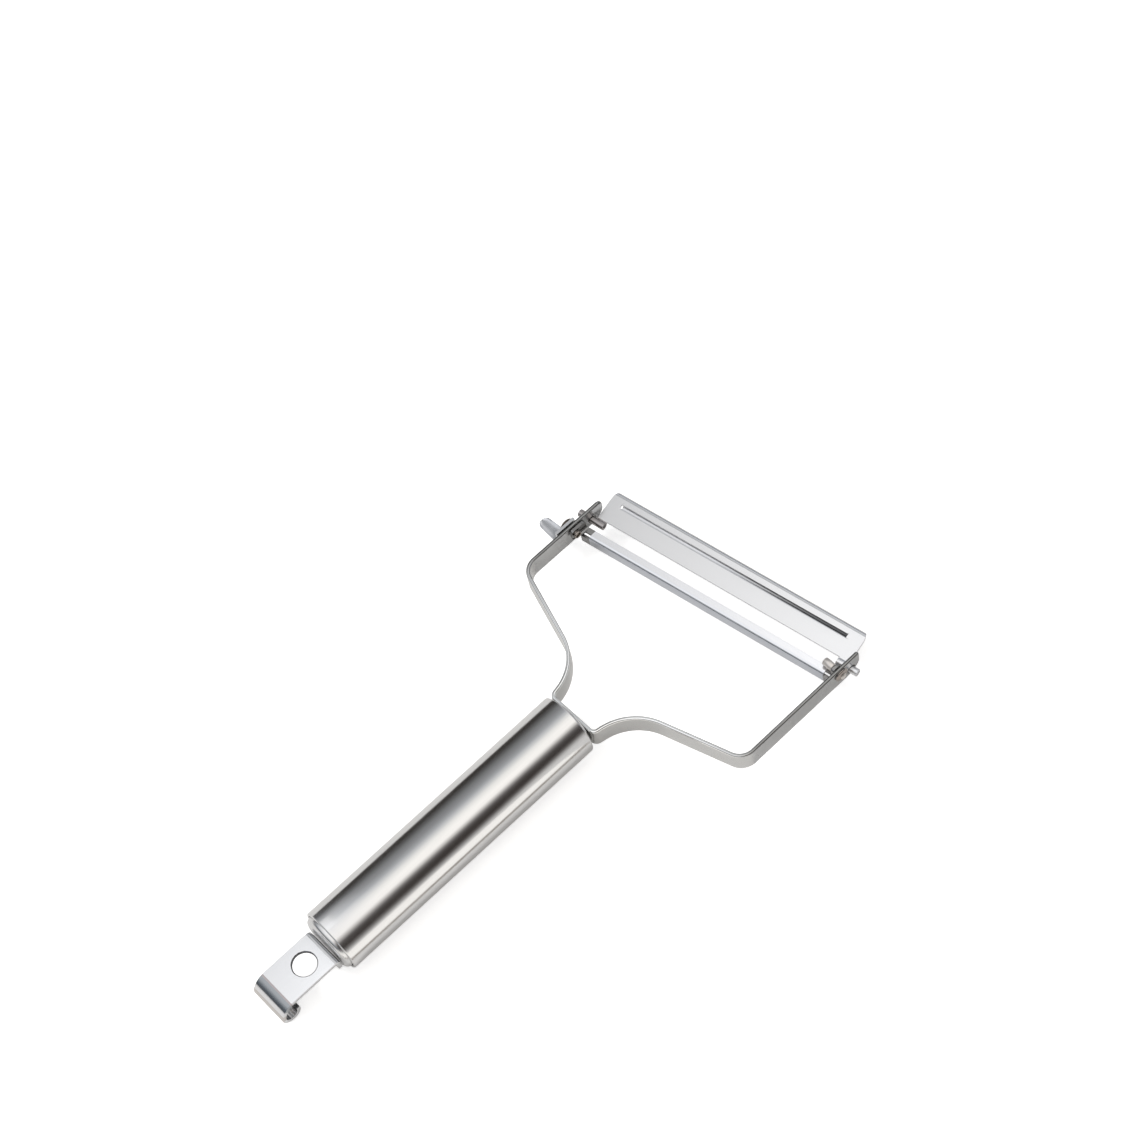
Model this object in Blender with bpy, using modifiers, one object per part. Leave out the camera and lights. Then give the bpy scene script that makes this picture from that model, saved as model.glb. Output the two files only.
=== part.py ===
"""Wide peeler, all of sheet and tube steel.

A hollow round handle carries a wide yoke bent from flat strip. The yoke's right arm is longer
than its left one, so the blade and the guard bar between the arms lie on a slant. The slotted
blade swivels on rolled tongues in the arms' holes, the guard bar is riveted inside the arms,
and a tab for gouging eyes is riveted outside the left arm. A tab with a hole and a curled end
hangs the peeler up by its tail.

+X runs from the tail to the blade, +Y to the left and +Z up. The model is drawn from the head
end of the handle, on its axis, and then moved so that the origin is the middle of its box.
"""

import math

import bmesh
import bpy
from mathutils import Vector

MM = 0.001

# Gaps between pieces
FIT_GAP = 0.3 * MM
SWIVEL_GAP = 0.3 * MM

# Handle tube
HANDLE_DIAMETER = 19.0 * MM
HANDLE_LENGTH = 87.3 * MM
HANDLE_WALL = 0.8 * MM
HANDLE_EDGE = 0.3 * MM

# Pressed end caps
CAP_WALL = 0.8 * MM
CAP_SKIRT = 5.0 * MM
CAP_SHOULDER = 1.6 * MM
HEAD_CAP_RISE = 0.8 * MM
TAIL_CAP_RISE = 1.6 * MM

# Yoke strip
STRIP_HEIGHT = 7.4 * MM
STRIP_THICKNESS = 1.2 * MM
NECK_HALF_WIDTH = 8.3 * MM
NECK_BEND = 1.7 * MM
SHOULDER_REACH = 11.8 * MM
SHOULDER_HALF_WIDTH = 10.3 * MM
SHOULDER_BEND = 16.0 * MM
CORNER_REACH = 22.2 * MM
CORNER_BEND = 5.0 * MM
ARM_HALF_SPAN = 43.4 * MM
LEFT_ARM_REACH = 52.1 * MM
RIGHT_ARM_REACH = 66.2 * MM
LEFT_TIP_RADII = (1.9 * MM, 5.2 * MM)
RIGHT_TIP_RADII = (0.9 * MM, 5.2 * MM)

# Blade swivel, from the tips of the arms
LEFT_SWIVEL_INSET = 4.85 * MM
RIGHT_SWIVEL_INSET = 3.65 * MM
SWIVEL_HEIGHT = -1.0 * MM
BLADE_TILT = math.radians(8.3)

# Blade plate, measured forward from the swivel axis
BLADE_THICKNESS = 0.7 * MM
BLADE_NEAR_EDGE = 1.35 * MM
BLADE_CUTTING_EDGE = 6.8 * MM
SLOT_WIDTH = 1.5 * MM
LEFT_SLOT_MARGIN = 3.8 * MM
RIGHT_SLOT_MARGIN = 4.8 * MM
BLADE_LIP_START = 9.55 * MM
BLADE_LIP_RADIUS = 1.2 * MM
BLADE_LIP_DROP = 0.7 * MM
BLADE_CORNER_RADIUS = 2.6 * MM
BLADE_END_GAP = 0.35 * MM
RAMP_THICKNESS = 0.5 * MM
RAMP_DROP = 1.2 * MM
RAMP_END_GAP = 0.3 * MM

# Rolled tongues at the blade's near corners
TONGUE_DIAMETER = 2.3 * MM
TONGUE_BORE = 0.9 * MM
TONGUE_SPLIT = 0.5 * MM
TONGUE_ROOT = 3.2 * MM
LEFT_TONGUE_REACH = 3.0 * MM
RIGHT_TONGUE_REACH = 2.2 * MM

# Guard bar, behind the swivel axis
BAR_SETBACK = 3.0 * MM
BAR_THICKNESS = 0.9 * MM
BAR_FLANGE_DEPTH = 2.9 * MM
BAR_TOP = 0.2 * MM
BAR_WEB_HEIGHT = 4.1 * MM
BAR_BEND = 0.8 * MM
EAR_THICKNESS = 0.9 * MM
EAR_MARGIN = 1.5 * MM

# Rivets and their collars
RIGHT_RIVET_SETBACK = 3.8 * MM
LEFT_RIVET_SETBACK = 6.85 * MM
RIVET_HEIGHT = 1.6 * MM
RIVET_SHANK = 1.3 * MM
RIVET_HEAD_DIAMETER = 4.4 * MM
RIVET_HEAD_HEIGHT = 1.2 * MM
RIVET_HOLE_GAP = 0.2 * MM
COLLAR_DIAMETER = 2.4 * MM
RIGHT_COLLAR_LENGTH = 3.3 * MM
LEFT_COLLAR_LENGTH = 0.8 * MM

# Eye remover
EYE_THICKNESS = 0.9 * MM
EYE_BASE_TOP = 3.4 * MM
EYE_TAB_HEIGHT = -2.6 * MM
EYE_TAB_WIDTH = 4.6 * MM
EYE_TIP_WIDTH = 3.8 * MM
EYE_TAB_LENGTH = 10.3 * MM
EYE_TAB_SETBACK = 2.4 * MM
EYE_BASE_MARGIN = 2.4 * MM
EYE_BEND = 0.9 * MM

# Hanging tab
TAB_THICKNESS = 1.2 * MM
TAB_WIDTH = 12.2 * MM
TAB_FLANGE = 3.6 * MM
TAB_FLANGE_BEND = 1.0 * MM
TAB_FLAT = 16.1 * MM
TAB_HOLE_DIAMETER = 6.8 * MM
TAB_HOLE_REACH = 6.6 * MM
CURL_CREASE = math.radians(12.0)
CURL_TOP_RADIUS = 4.9 * MM
CURL_TOP_SWEEP = math.radians(73.0)
CURL_RADIUS = 2.4 * MM
CURL_SWEEP = math.radians(200.0)

# Facets
ROUND_STEPS = 40
SMALL_STEPS = 20
BEND_STEP = math.radians(11.0)

HALF_THICKNESS = STRIP_THICKNESS / 2
BASE_X = HEAD_CAP_RISE + FIT_GAP + HALF_THICKNESS
LEFT_TIP_X = BASE_X + LEFT_ARM_REACH
RIGHT_TIP_X = BASE_X + RIGHT_ARM_REACH
ARM_INNER = ARM_HALF_SPAN - HALF_THICKNESS
ARM_OUTER = ARM_HALF_SPAN + HALF_THICKNESS
LEFT_SWIVEL_X = LEFT_TIP_X - LEFT_SWIVEL_INSET
RIGHT_SWIVEL_X = RIGHT_TIP_X - RIGHT_SWIVEL_INSET
SWIVEL_X = (LEFT_SWIVEL_X + RIGHT_SWIVEL_X) / 2
SLANT = math.atan2(RIGHT_SWIVEL_X - LEFT_SWIVEL_X, 2 * ARM_HALF_SPAN)
LEFT_RIVET_X = LEFT_SWIVEL_X - LEFT_RIVET_SETBACK
RIGHT_RIVET_X = RIGHT_SWIVEL_X - RIGHT_RIVET_SETBACK
EAR_OUTER = ARM_INNER - FIT_GAP

STEEL = {
    "satin_steel": ((0.72, 0.71, 0.69, 1.0), 0.28),
    "polished_steel": ((0.80, 0.80, 0.81, 1.0), 0.14),
    "blade_steel": ((0.78, 0.79, 0.82, 1.0), 0.20),
    "rivet_steel": ((0.74, 0.70, 0.66, 1.0), 0.22),
}


def clear_scene():
    """Remove every object that the file opened with."""
    for obj in list(bpy.data.objects):
        bpy.data.objects.remove(obj, do_unlink=True)


def collection(name):
    group = bpy.data.collections.new(name)
    bpy.context.scene.collection.children.link(group)
    return group


def steel(piece_name, finish):
    """A piece's own steel material, in one of the named finishes."""
    colour, roughness = STEEL[finish]
    material = bpy.data.materials.new(f"{piece_name}_{finish}")
    material.use_nodes = True
    shader = material.node_tree.nodes["Principled BSDF"]
    shader.inputs["Base Color"].default_value = colour
    shader.inputs["Metallic"].default_value = 1.0
    shader.inputs["Roughness"].default_value = roughness
    return material


def empty(name, location, rotation=(0.0, 0.0, 0.0), parent=None):
    obj = bpy.data.objects.new(name, None)
    obj.location = location
    obj.rotation_euler = rotation
    obj.parent = parent
    obj.empty_display_size = 5 * MM
    PARTS.objects.link(obj)
    return obj


def from_bmesh(name, mesh_builder, group, parent, location=(0, 0, 0), rotation=(0, 0, 0)):
    mesh = bpy.data.meshes.new(name)
    mesh_builder.to_mesh(mesh)
    mesh_builder.free()
    obj = bpy.data.objects.new(name, mesh)
    obj.parent = parent
    obj.location = location
    obj.rotation_euler = rotation
    group.objects.link(obj)
    return obj


def finish(obj, finish_name, smooth_angle=35.0):
    """Give a piece its material and smooth shading that keeps its creases."""
    obj.data.materials.append(steel(obj.name, finish_name))
    obj.data.shade_smooth()
    obj.data.set_sharp_from_angle(angle=math.radians(smooth_angle))
    return obj


def boolean(target, tool, operation):
    modifier = target.modifiers.new(f"{operation.lower()}_{tool.name}", "BOOLEAN")
    modifier.object = tool
    modifier.operation = operation
    modifier.solver = "EXACT"
    tool.hide_render = True
    tool.display_type = "WIRE"


def box(name, low, high, parent=None):
    """A box between two corners, as a cutter or a tool to join."""
    shape = bmesh.new()
    bmesh.ops.create_cube(shape, size=1.0)
    size = Vector(high) - Vector(low)
    middle = (Vector(high) + Vector(low)) / 2
    bmesh.ops.scale(shape, vec=size, verts=shape.verts)
    bmesh.ops.translate(shape, vec=middle, verts=shape.verts)
    return from_bmesh(name, shape, CUTTERS, parent)


def rod(name, radius, length, parent=None, location=(0, 0, 0), rotation=(0, 0, 0)):
    """A cylinder about its own Z axis, as a cutter or a tool to join."""
    shape = bmesh.new()
    bmesh.ops.create_cone(
        shape, cap_ends=True, segments=SMALL_STEPS, radius1=radius, radius2=radius, depth=length
    )
    return from_bmesh(name, shape, CUTTERS, parent, location, rotation)


def turned(name, profile, steps, group, parent, location=(0, 0, 0), rotation=(0, 0, 0)):
    """Turn a profile of (radius, height) points, top to bottom, about its own Z axis.

    It starts half a step round, so that the piece rests on a flat and not on an edge.
    """
    shape = bmesh.new()
    start = math.pi / steps
    verts = [
        shape.verts.new((radius * math.cos(start), radius * math.sin(start), height))
        for radius, height in profile
    ]
    for first, second in zip(verts, verts[1:]):
        shape.edges.new((first, second))
    if profile[0][0] > 0.0:
        shape.edges.new((verts[-1], verts[0]))
    obj = from_bmesh(name, shape, group, parent, location, rotation)
    screw = obj.modifiers.new("turn", "SCREW")
    screw.axis = "Z"
    screw.steps = steps
    screw.render_steps = steps
    screw.use_merge_vertices = True
    screw.merge_threshold = 0.01 * MM
    screw.use_smooth_shade = True
    return obj


def bent_path(corners):
    """Points along straight runs joined by arcs: corners are (a, b, bend radius)."""
    points = [Vector(corners[0][:2])]
    for before, corner, after in zip(corners, corners[1:], corners[2:]):
        here = Vector(corner[:2])
        back = (Vector(before[:2]) - here).normalized()
        on = (Vector(after[:2]) - here).normalized()
        turn = math.pi - back.angle(on)
        run = corner[2] * math.tan(turn / 2)
        start = here + back * run
        side = 1.0 if back.x * on.y - back.y * on.x < 0 else -1.0
        centre = start + Vector((back.y, -back.x)) * side * corner[2]
        spoke = start - centre
        steps = max(2, math.ceil(turn / BEND_STEP))
        for step in range(steps + 1):
            angle = side * turn * step / steps
            points.append(centre + Vector((
                spoke.x * math.cos(angle) - spoke.y * math.sin(angle),
                spoke.x * math.sin(angle) + spoke.y * math.cos(angle),
            )))
    points.append(Vector(corners[-1][:2]))
    return points


def rounded_end(tip, inward, half_height, radii, steps=6):
    """Points with their lower and upper height along a strip's rounded end, from the tip."""
    top, bottom = radii
    reach = max(radii)
    places = sorted({
        radius * (1 - math.cos(math.pi / 2 * step / steps))
        for radius in (top, bottom) for step in range(steps + 1)
    })

    def inset(radius, place):
        """How far an edge of this radius has still to rise, this far from the tip."""
        left = max(0.0, radius - place)
        return radius - math.sqrt(radius ** 2 - left ** 2)

    return [
        (tip + inward * place, -half_height + inset(bottom, place), half_height - inset(top, place))
        for place in places if place <= reach
    ]


def sheet(name, lower, upper, thickness, group, parent, location=(0, 0, 0), rotation=(0, 0, 0)):
    """A strip of sheet between two edges, given as equally many points, thickened both ways."""
    shape = bmesh.new()
    low = [shape.verts.new(point) for point in lower]
    high = [shape.verts.new(point) for point in upper]
    for index in range(len(low) - 1):
        shape.faces.new((low[index], low[index + 1], high[index + 1], high[index]))
    obj = from_bmesh(name, shape, group, parent, location, rotation)
    solidify = obj.modifiers.new("thickness", "SOLIDIFY")
    solidify.thickness = thickness
    solidify.offset = 0.0
    solidify.use_even_offset = True
    return obj


def build_handle(parent):
    """The tube, drawn about Z and laid along X with its head end at the origin."""
    outer = HANDLE_DIAMETER / 2
    inner = outer - HANDLE_WALL
    profile = [
        (inner, 0.0),
        (outer - HANDLE_EDGE, 0.0),
        (outer, -HANDLE_EDGE),
        (outer, HANDLE_EDGE - HANDLE_LENGTH),
        (outer - HANDLE_EDGE, -HANDLE_LENGTH),
        (inner, -HANDLE_LENGTH),
    ]
    tube = turned("handle_tube", profile, ROUND_STEPS, PARTS, parent,
                  rotation=(0, math.pi / 2, 0))
    return finish(tube, "satin_steel")


def build_cap(name, rise, parent, location, rotation):
    """A pressed cap with a flat face, a round shoulder and a skirt inside the tube."""
    outer = HANDLE_DIAMETER / 2 - HANDLE_WALL - FIT_GAP
    inner = outer - CAP_WALL
    shoulder = min(CAP_SHOULDER, rise)
    width = CAP_SHOULDER
    profile = [(0.0, rise)]
    for step in range(5):
        turn = math.pi / 2 * step / 4
        profile.append((outer - width + width * math.sin(turn),
                        rise - shoulder + shoulder * math.cos(turn)))
    profile += [
        (outer, -CAP_SKIRT),
        (inner, -CAP_SKIRT),
        (inner, rise - shoulder - CAP_WALL),
        (outer - width, rise - CAP_WALL),
        (0.0, rise - CAP_WALL),
    ]
    cap = turned(name, profile, ROUND_STEPS, PARTS, parent, location, rotation)
    return finish(cap, "satin_steel")


def yoke_path():
    """The strip's centre line in plan, from the left tip round the base to the right tip."""
    left = [
        (LEFT_TIP_X, ARM_HALF_SPAN, 0.0),
        (BASE_X + CORNER_REACH, ARM_HALF_SPAN, CORNER_BEND),
        (BASE_X + SHOULDER_REACH, SHOULDER_HALF_WIDTH, SHOULDER_BEND),
        (BASE_X, NECK_HALF_WIDTH, NECK_BEND),
    ]
    right = [(x, -y, bend) for x, y, bend in reversed(left[1:])]
    return bent_path(left + right + [(RIGHT_TIP_X, -ARM_HALF_SPAN, 0.0)])


def build_yoke(parent, swivel):
    path = yoke_path()
    half = STRIP_HEIGHT / 2
    left = rounded_end(path[0], (path[1] - path[0]).normalized(), half, LEFT_TIP_RADII)
    right = rounded_end(path[-1], (path[-2] - path[-1]).normalized(), half, RIGHT_TIP_RADII)
    stations = left + [(point, -half, half) for point in path[1:-1]] + right[::-1]
    yoke = sheet(
        "yoke",
        [(point.x, point.y, low) for point, low, _ in stations],
        [(point.x, point.y, high) for point, _, high in stations],
        STRIP_THICKNESS, PARTS, parent,
    )
    hole_run = 2 * ARM_OUTER + 20 * MM
    swivel_hole = rod("swivel_hole", TONGUE_DIAMETER / 2 + SWIVEL_GAP, hole_run, swivel,
                      rotation=(math.pi / 2, 0, 0))
    boolean(yoke, swivel_hole, "DIFFERENCE")
    for side, rivet_x, sign in (("left", LEFT_RIVET_X, 1), ("right", RIGHT_RIVET_X, -1)):
        hole = rod(f"{side}_rivet_hole", RIVET_SHANK / 2 + RIVET_HOLE_GAP,
                   STRIP_THICKNESS + 4 * MM, parent,
                   (rivet_x, sign * ARM_HALF_SPAN, RIVET_HEIGHT), (math.pi / 2, 0, 0))
        boolean(yoke, hole, "DIFFERENCE")
    return finish(yoke, "satin_steel")


def blade_ends():
    """How far the plate reaches to the left and right along the swivel axis."""
    meeting = min(BLADE_LIP_START, LEFT_SWIVEL_INSET / math.cos(SLANT))
    room = ARM_INNER - BLADE_END_GAP
    left = (room - meeting * math.sin(SLANT)) / math.cos(SLANT)
    right = (room + BLADE_NEAR_EDGE * math.sin(SLANT)) / math.cos(SLANT)
    return left, right


def blade_profile():
    """The plate's section, forward and up from the swivel axis, with its rolled lip."""
    points = [(BLADE_NEAR_EDGE, 0.0), (BLADE_LIP_START, 0.0)]
    steps = 7
    for step in range(1, steps + 1):
        turn = math.pi / 2 * step / steps
        points.append((BLADE_LIP_START + BLADE_LIP_RADIUS * math.sin(turn),
                       BLADE_LIP_RADIUS * (math.cos(turn) - 1)))
    points.append((BLADE_LIP_START + BLADE_LIP_RADIUS, -BLADE_LIP_RADIUS - BLADE_LIP_DROP))
    return points


def corner_inset(distance_left):
    """How far the plate's end steps in, this far along the sheet from its far edge."""
    if distance_left >= BLADE_CORNER_RADIUS:
        return 0.0
    across = BLADE_CORNER_RADIUS - distance_left
    return BLADE_CORNER_RADIUS - math.sqrt(BLADE_CORNER_RADIUS ** 2 - across ** 2)


def build_blade(swivel):
    left, right = blade_ends()
    section = blade_profile()
    runs = [math.dist(first, second) for first, second in zip(section, section[1:])]
    insets = [corner_inset(sum(runs[index:])) for index in range(len(section))]
    blade = sheet(
        "blade_plate",
        [(x, left - inset, z) for (x, z), inset in zip(section, insets)],
        [(x, inset - right, z) for (x, z), inset in zip(section, insets)],
        BLADE_THICKNESS, PARTS, swivel,
    )

    slot_left = left - LEFT_SLOT_MARGIN
    slot_right = RIGHT_SLOT_MARGIN - right
    slot_far = BLADE_CUTTING_EDGE + SLOT_WIDTH
    slot = box("blade_slot", (BLADE_CUTTING_EDGE, slot_right, -2 * MM),
               (slot_far, slot_left, 2 * MM), swivel)
    boolean(blade, slot, "DIFFERENCE")

    ramp_left = slot_left - RAMP_END_GAP
    ramp_right = slot_right + RAMP_END_GAP
    ramp_top = (slot_far + BLADE_THICKNESS / 2, -BLADE_THICKNESS / 4)
    ramp_foot = (BLADE_CUTTING_EDGE + RAMP_THICKNESS, -RAMP_DROP)
    ramp = sheet(
        "blade_ramp",
        [(ramp_foot[0], ramp_left, ramp_foot[1]), (ramp_top[0], ramp_left, ramp_top[1])],
        [(ramp_foot[0], ramp_right, ramp_foot[1]), (ramp_top[0], ramp_right, ramp_top[1])],
        RAMP_THICKNESS, CUTTERS, swivel,
    )
    boolean(blade, ramp, "UNION")

    tongues = (("left", 1, left, LEFT_TONGUE_REACH), ("right", -1, right, RIGHT_TONGUE_REACH))
    for side, sign, end, reach in tongues:
        tip = (ARM_OUTER + reach) / math.cos(SLANT)
        root = end - TONGUE_ROOT
        shank = rod(f"{side}_tongue", TONGUE_DIAMETER / 2, tip - root, swivel,
                    (0, sign * (tip + root) / 2, 0), (math.pi / 2, 0, 0))
        web_ends = sorted((sign * root, sign * end))
        web = box(f"{side}_tongue_web", (TONGUE_DIAMETER / 4, web_ends[0], -BLADE_THICKNESS / 2),
                  (BLADE_NEAR_EDGE + MM, web_ends[1], BLADE_THICKNESS / 2), swivel)
        boolean(blade, shank, "UNION")
        boolean(blade, web, "UNION")
    length = 2 * (ARM_OUTER + LEFT_TONGUE_REACH + 2 * MM)
    bore = rod("tongue_bore", TONGUE_BORE / 2, length, swivel, rotation=(math.pi / 2, 0, 0))
    split = box("tongue_split", (-TONGUE_DIAMETER, -length / 2, -TONGUE_SPLIT / 2),
                (0.0, length / 2, TONGUE_SPLIT / 2), swivel)
    split.rotation_euler = (0, math.radians(40.0), 0)
    boolean(blade, bore, "DIFFERENCE")
    boolean(blade, split, "DIFFERENCE")
    return finish(blade, "blade_steel")


def build_guard_bar(parent):
    """An L of sheet along the slant, trimmed between the arms, with an ear up at each end."""
    frame = empty("guard_bar_line", (SWIVEL_X, 0, 0), (0, 0, SLANT), parent)
    half = BAR_THICKNESS / 2
    front = -BAR_SETBACK
    web_x = front - BAR_FLANGE_DEPTH + half
    top = BAR_TOP - half
    bottom = BAR_TOP - BAR_WEB_HEIGHT
    section = bent_path([(web_x, bottom, 0.0), (web_x, top, BAR_BEND), (front, top, 0.0)])
    reach = ARM_HALF_SPAN / math.cos(SLANT) + 4 * MM
    bar = sheet(
        "guard_bar",
        [(point.x, -reach, point.y) for point in section],
        [(point.x, reach, point.y) for point in section],
        BAR_THICKNESS, PARTS, frame,
    )
    finish(bar, "polished_steel")

    ear_middle = EAR_OUTER - EAR_THICKNESS / 2
    trim_y = EAR_OUTER - EAR_THICKNESS / 4
    trim = box("guard_bar_trim", (0, -trim_y, -STRIP_HEIGHT), (RIGHT_TIP_X, trim_y, STRIP_HEIGHT),
               parent)
    boolean(bar, trim, "INTERSECT")

    for side, rivet_x, sign in (("left", LEFT_RIVET_X, 1), ("right", RIGHT_RIVET_X, -1)):
        axis_x = SWIVEL_X - sign * ear_middle * math.tan(SLANT)
        front_x = axis_x - BAR_SETBACK / math.cos(SLANT)
        rear_x = front_x - BAR_FLANGE_DEPTH / math.cos(SLANT)
        faces = sorted((sign * EAR_OUTER, sign * (EAR_OUTER - EAR_THICKNESS)))
        ear = box(f"{side}_ear",
                  (min(rear_x, rivet_x - EAR_MARGIN), faces[0], BAR_TOP - half),
                  (max(front_x, rivet_x + EAR_MARGIN), faces[1], RIVET_HEIGHT + EAR_MARGIN),
                  parent)
        boolean(bar, ear, "UNION")
        hole = rod(f"{side}_ear_hole", RIVET_SHANK / 2 + RIVET_HOLE_GAP, EAR_THICKNESS + 3 * MM,
                   parent, (rivet_x, sign * ear_middle, RIVET_HEIGHT),
                   (math.pi / 2, 0, 0))
        boolean(bar, hole, "DIFFERENCE")
    return bar


def build_rivet(name, rivet_x, sign, seat, collar_length, parent):
    """A domed rivet from outside an arm, through the ear, into the collar inside it."""
    radius = RIVET_HEAD_DIAMETER / 2
    shank = RIVET_SHANK / 2
    under_head = seat + FIT_GAP
    collar_outer = EAR_OUTER - EAR_THICKNESS - FIT_GAP
    shank_end = collar_outer - collar_length + 0.4 * MM
    profile = [(0.0, RIVET_HEAD_HEIGHT)]
    for step in range(1, 6):
        turn = math.pi / 2 * step / 5
        profile.append((radius * math.sin(turn), RIVET_HEAD_HEIGHT * math.cos(turn)))
    profile += [
        (shank, 0.0),
        (shank, shank_end - under_head),
        (0.0, shank_end - under_head),
    ]
    rivet = turned(name, profile, SMALL_STEPS, PARTS, parent,
                   (rivet_x, sign * under_head, RIVET_HEIGHT), (-sign * math.pi / 2, 0, 0))
    return finish(rivet, "rivet_steel")


def build_collar(name, rivet_x, sign, length, parent):
    """The sleeve that the rivet's end is closed in, inside the ear."""
    outer = COLLAR_DIAMETER / 2
    bore = RIVET_SHANK / 2 + RIVET_HOLE_GAP
    start = EAR_OUTER - EAR_THICKNESS - FIT_GAP
    profile = [(bore, 0.0), (outer, 0.0), (outer, -length), (bore, -length)]
    collar = turned(name, profile, SMALL_STEPS, PARTS, parent,
                    (rivet_x, sign * start, RIVET_HEIGHT), (-sign * math.pi / 2, 0, 0))
    return finish(collar, "rivet_steel")


def build_eye_remover(parent):
    """A base plate outside the left arm, bent out at its foot into a round-tipped tab."""
    plate_y = ARM_OUTER + FIT_GAP + EYE_THICKNESS / 2
    tip_y = ARM_OUTER + EYE_TAB_LENGTH
    section = bent_path([
        (plate_y, EYE_BASE_TOP, 0.0),
        (plate_y, EYE_TAB_HEIGHT, EYE_BEND),
        (tip_y - EYE_TIP_WIDTH / 2, EYE_TAB_HEIGHT, 0.0),
    ])
    tab_middle = LEFT_RIVET_X - EYE_TAB_SETBACK
    base_front = LEFT_RIVET_X + EYE_BASE_MARGIN
    root_y = plate_y + EYE_BEND
    edges = []
    for point in section:
        out = max(0.0, (point.x - root_y) / (section[-1].x - root_y))
        half = (EYE_TAB_WIDTH + (EYE_TIP_WIDTH - EYE_TAB_WIDTH) * out) / 2
        front = base_front if point.x <= plate_y + 0.01 * MM else tab_middle + half
        edges.append((point, tab_middle - half, front))
    tip_steps = 6
    for step in range(1, tip_steps + 1):
        turn = math.radians(80.0) * step / tip_steps
        half = EYE_TIP_WIDTH / 2 * math.cos(turn)
        point = Vector((section[-1].x + EYE_TIP_WIDTH / 2 * math.sin(turn), EYE_TAB_HEIGHT))
        edges.append((point, tab_middle - half, tab_middle + half))
    remover = sheet(
        "eye_remover",
        [(rear, point.x, point.y) for point, rear, _ in edges],
        [(front, point.x, point.y) for point, _, front in edges],
        EYE_THICKNESS, PARTS, parent,
    )
    hole = rod("eye_remover_hole", RIVET_SHANK / 2 + RIVET_HOLE_GAP, EYE_THICKNESS + 3 * MM,
               parent, (LEFT_RIVET_X, plate_y, RIVET_HEIGHT), (math.pi / 2, 0, 0))
    boolean(remover, hole, "DIFFERENCE")
    return finish(remover, "satin_steel")


def build_hanging_tab(parent):
    """A flange on the tail cap, the flat with its hole, a crease and the curl under it."""
    flange_x = -HANDLE_LENGTH - TAIL_CAP_RISE - FIT_GAP - TAB_THICKNESS / 2
    crease_x = flange_x - TAB_FLAT
    path = bent_path([
        (flange_x, -TAB_FLANGE, 0.0),
        (flange_x, 0.0, TAB_FLANGE_BEND),
        (crease_x, 0.0, 0.0),
    ])
    turn = CURL_CREASE
    for radius, sweep in ((CURL_TOP_RADIUS, CURL_TOP_SWEEP), (CURL_RADIUS, CURL_SWEEP)):
        centre = path[-1] + radius * Vector((math.sin(turn), -math.cos(turn)))
        steps = math.ceil(sweep / math.radians(14.0))
        for step in range(1, steps + 1):
            angle = math.pi / 2 + turn + sweep * step / steps
            path.append(centre + radius * Vector((math.cos(angle), math.sin(angle))))
        turn += sweep
    tab = sheet(
        "hanging_tab",
        [(point.x, -TAB_WIDTH / 2, point.y) for point in path],
        [(point.x, TAB_WIDTH / 2, point.y) for point in path],
        TAB_THICKNESS, PARTS, parent,
    )
    hole = rod("hanging_hole", TAB_HOLE_DIAMETER / 2, 2.5 * TAB_THICKNESS, parent,
               (flange_x - TAB_HOLE_REACH, 0, 0))
    boolean(tab, hole, "DIFFERENCE")
    return finish(tab, "polished_steel")


def middle_of_box():
    """The middle of the box around every piece, as the modifiers leave them."""
    depsgraph = bpy.context.evaluated_depsgraph_get()
    corners = []
    for obj in PARTS.objects:
        if obj.type != "MESH":
            continue
        evaluated = obj.evaluated_get(depsgraph)
        mesh = evaluated.to_mesh()
        corners += [evaluated.matrix_world @ vertex.co for vertex in mesh.vertices]
        evaluated.to_mesh_clear()
    low = Vector([min(corner[axis] for corner in corners) for axis in range(3)])
    high = Vector([max(corner[axis] for corner in corners) for axis in range(3)])
    return (low + high) / 2


def build():
    root = empty("peeler", (0, 0, 0))
    swivel = empty("blade_swivel", (SWIVEL_X, 0, SWIVEL_HEIGHT), (0, 0, SLANT), root)
    build_handle(root)
    build_cap("head_cap", HEAD_CAP_RISE, root, (0, 0, 0), (0, math.pi / 2, 0))
    build_cap("tail_cap", TAIL_CAP_RISE, root, (-HANDLE_LENGTH, 0, 0), (0, -math.pi / 2, 0))
    build_yoke(root, swivel)
    tilted = empty("blade_tilt", (0, 0, 0), (0, -BLADE_TILT, 0), swivel)
    build_blade(tilted)
    build_guard_bar(root)
    outer_plate = ARM_OUTER + FIT_GAP + EYE_THICKNESS
    build_rivet("left_rivet", LEFT_RIVET_X, 1, outer_plate, LEFT_COLLAR_LENGTH, root)
    build_rivet("right_rivet", RIGHT_RIVET_X, -1, ARM_OUTER, RIGHT_COLLAR_LENGTH, root)
    build_collar("left_collar", LEFT_RIVET_X, 1, LEFT_COLLAR_LENGTH, root)
    build_collar("right_collar", RIGHT_RIVET_X, -1, RIGHT_COLLAR_LENGTH, root)
    build_eye_remover(root)
    build_hanging_tab(root)
    bpy.context.view_layer.update()
    root.location = -middle_of_box()
    bpy.context.view_layer.update()


clear_scene()
PARTS = collection("wide_peeler")
CUTTERS = collection("cutters")
build()
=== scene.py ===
"""Looks of the wide peeler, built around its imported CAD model.

Every piece of the peeler is bent, turned or rolled again here from its own sizes, with finer
bends, rounded edges and a steel finish of its own, and stands for the CAD solid of the same
name. The blade rides on the swivelling body and everything else on the frame.

Sizes are in millimetres and turned into metres by MM. They are measured from the datum: the
middle of the handle tube's head end, +X toward the blade, +Y to the left and +Z up.
"""

from __future__ import annotations

import logging
import math
from collections.abc import Callable, Mapping, Sequence
from dataclasses import dataclass, field
from enum import Enum

import bmesh
import bpy
from mathutils import Matrix, Vector


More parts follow.
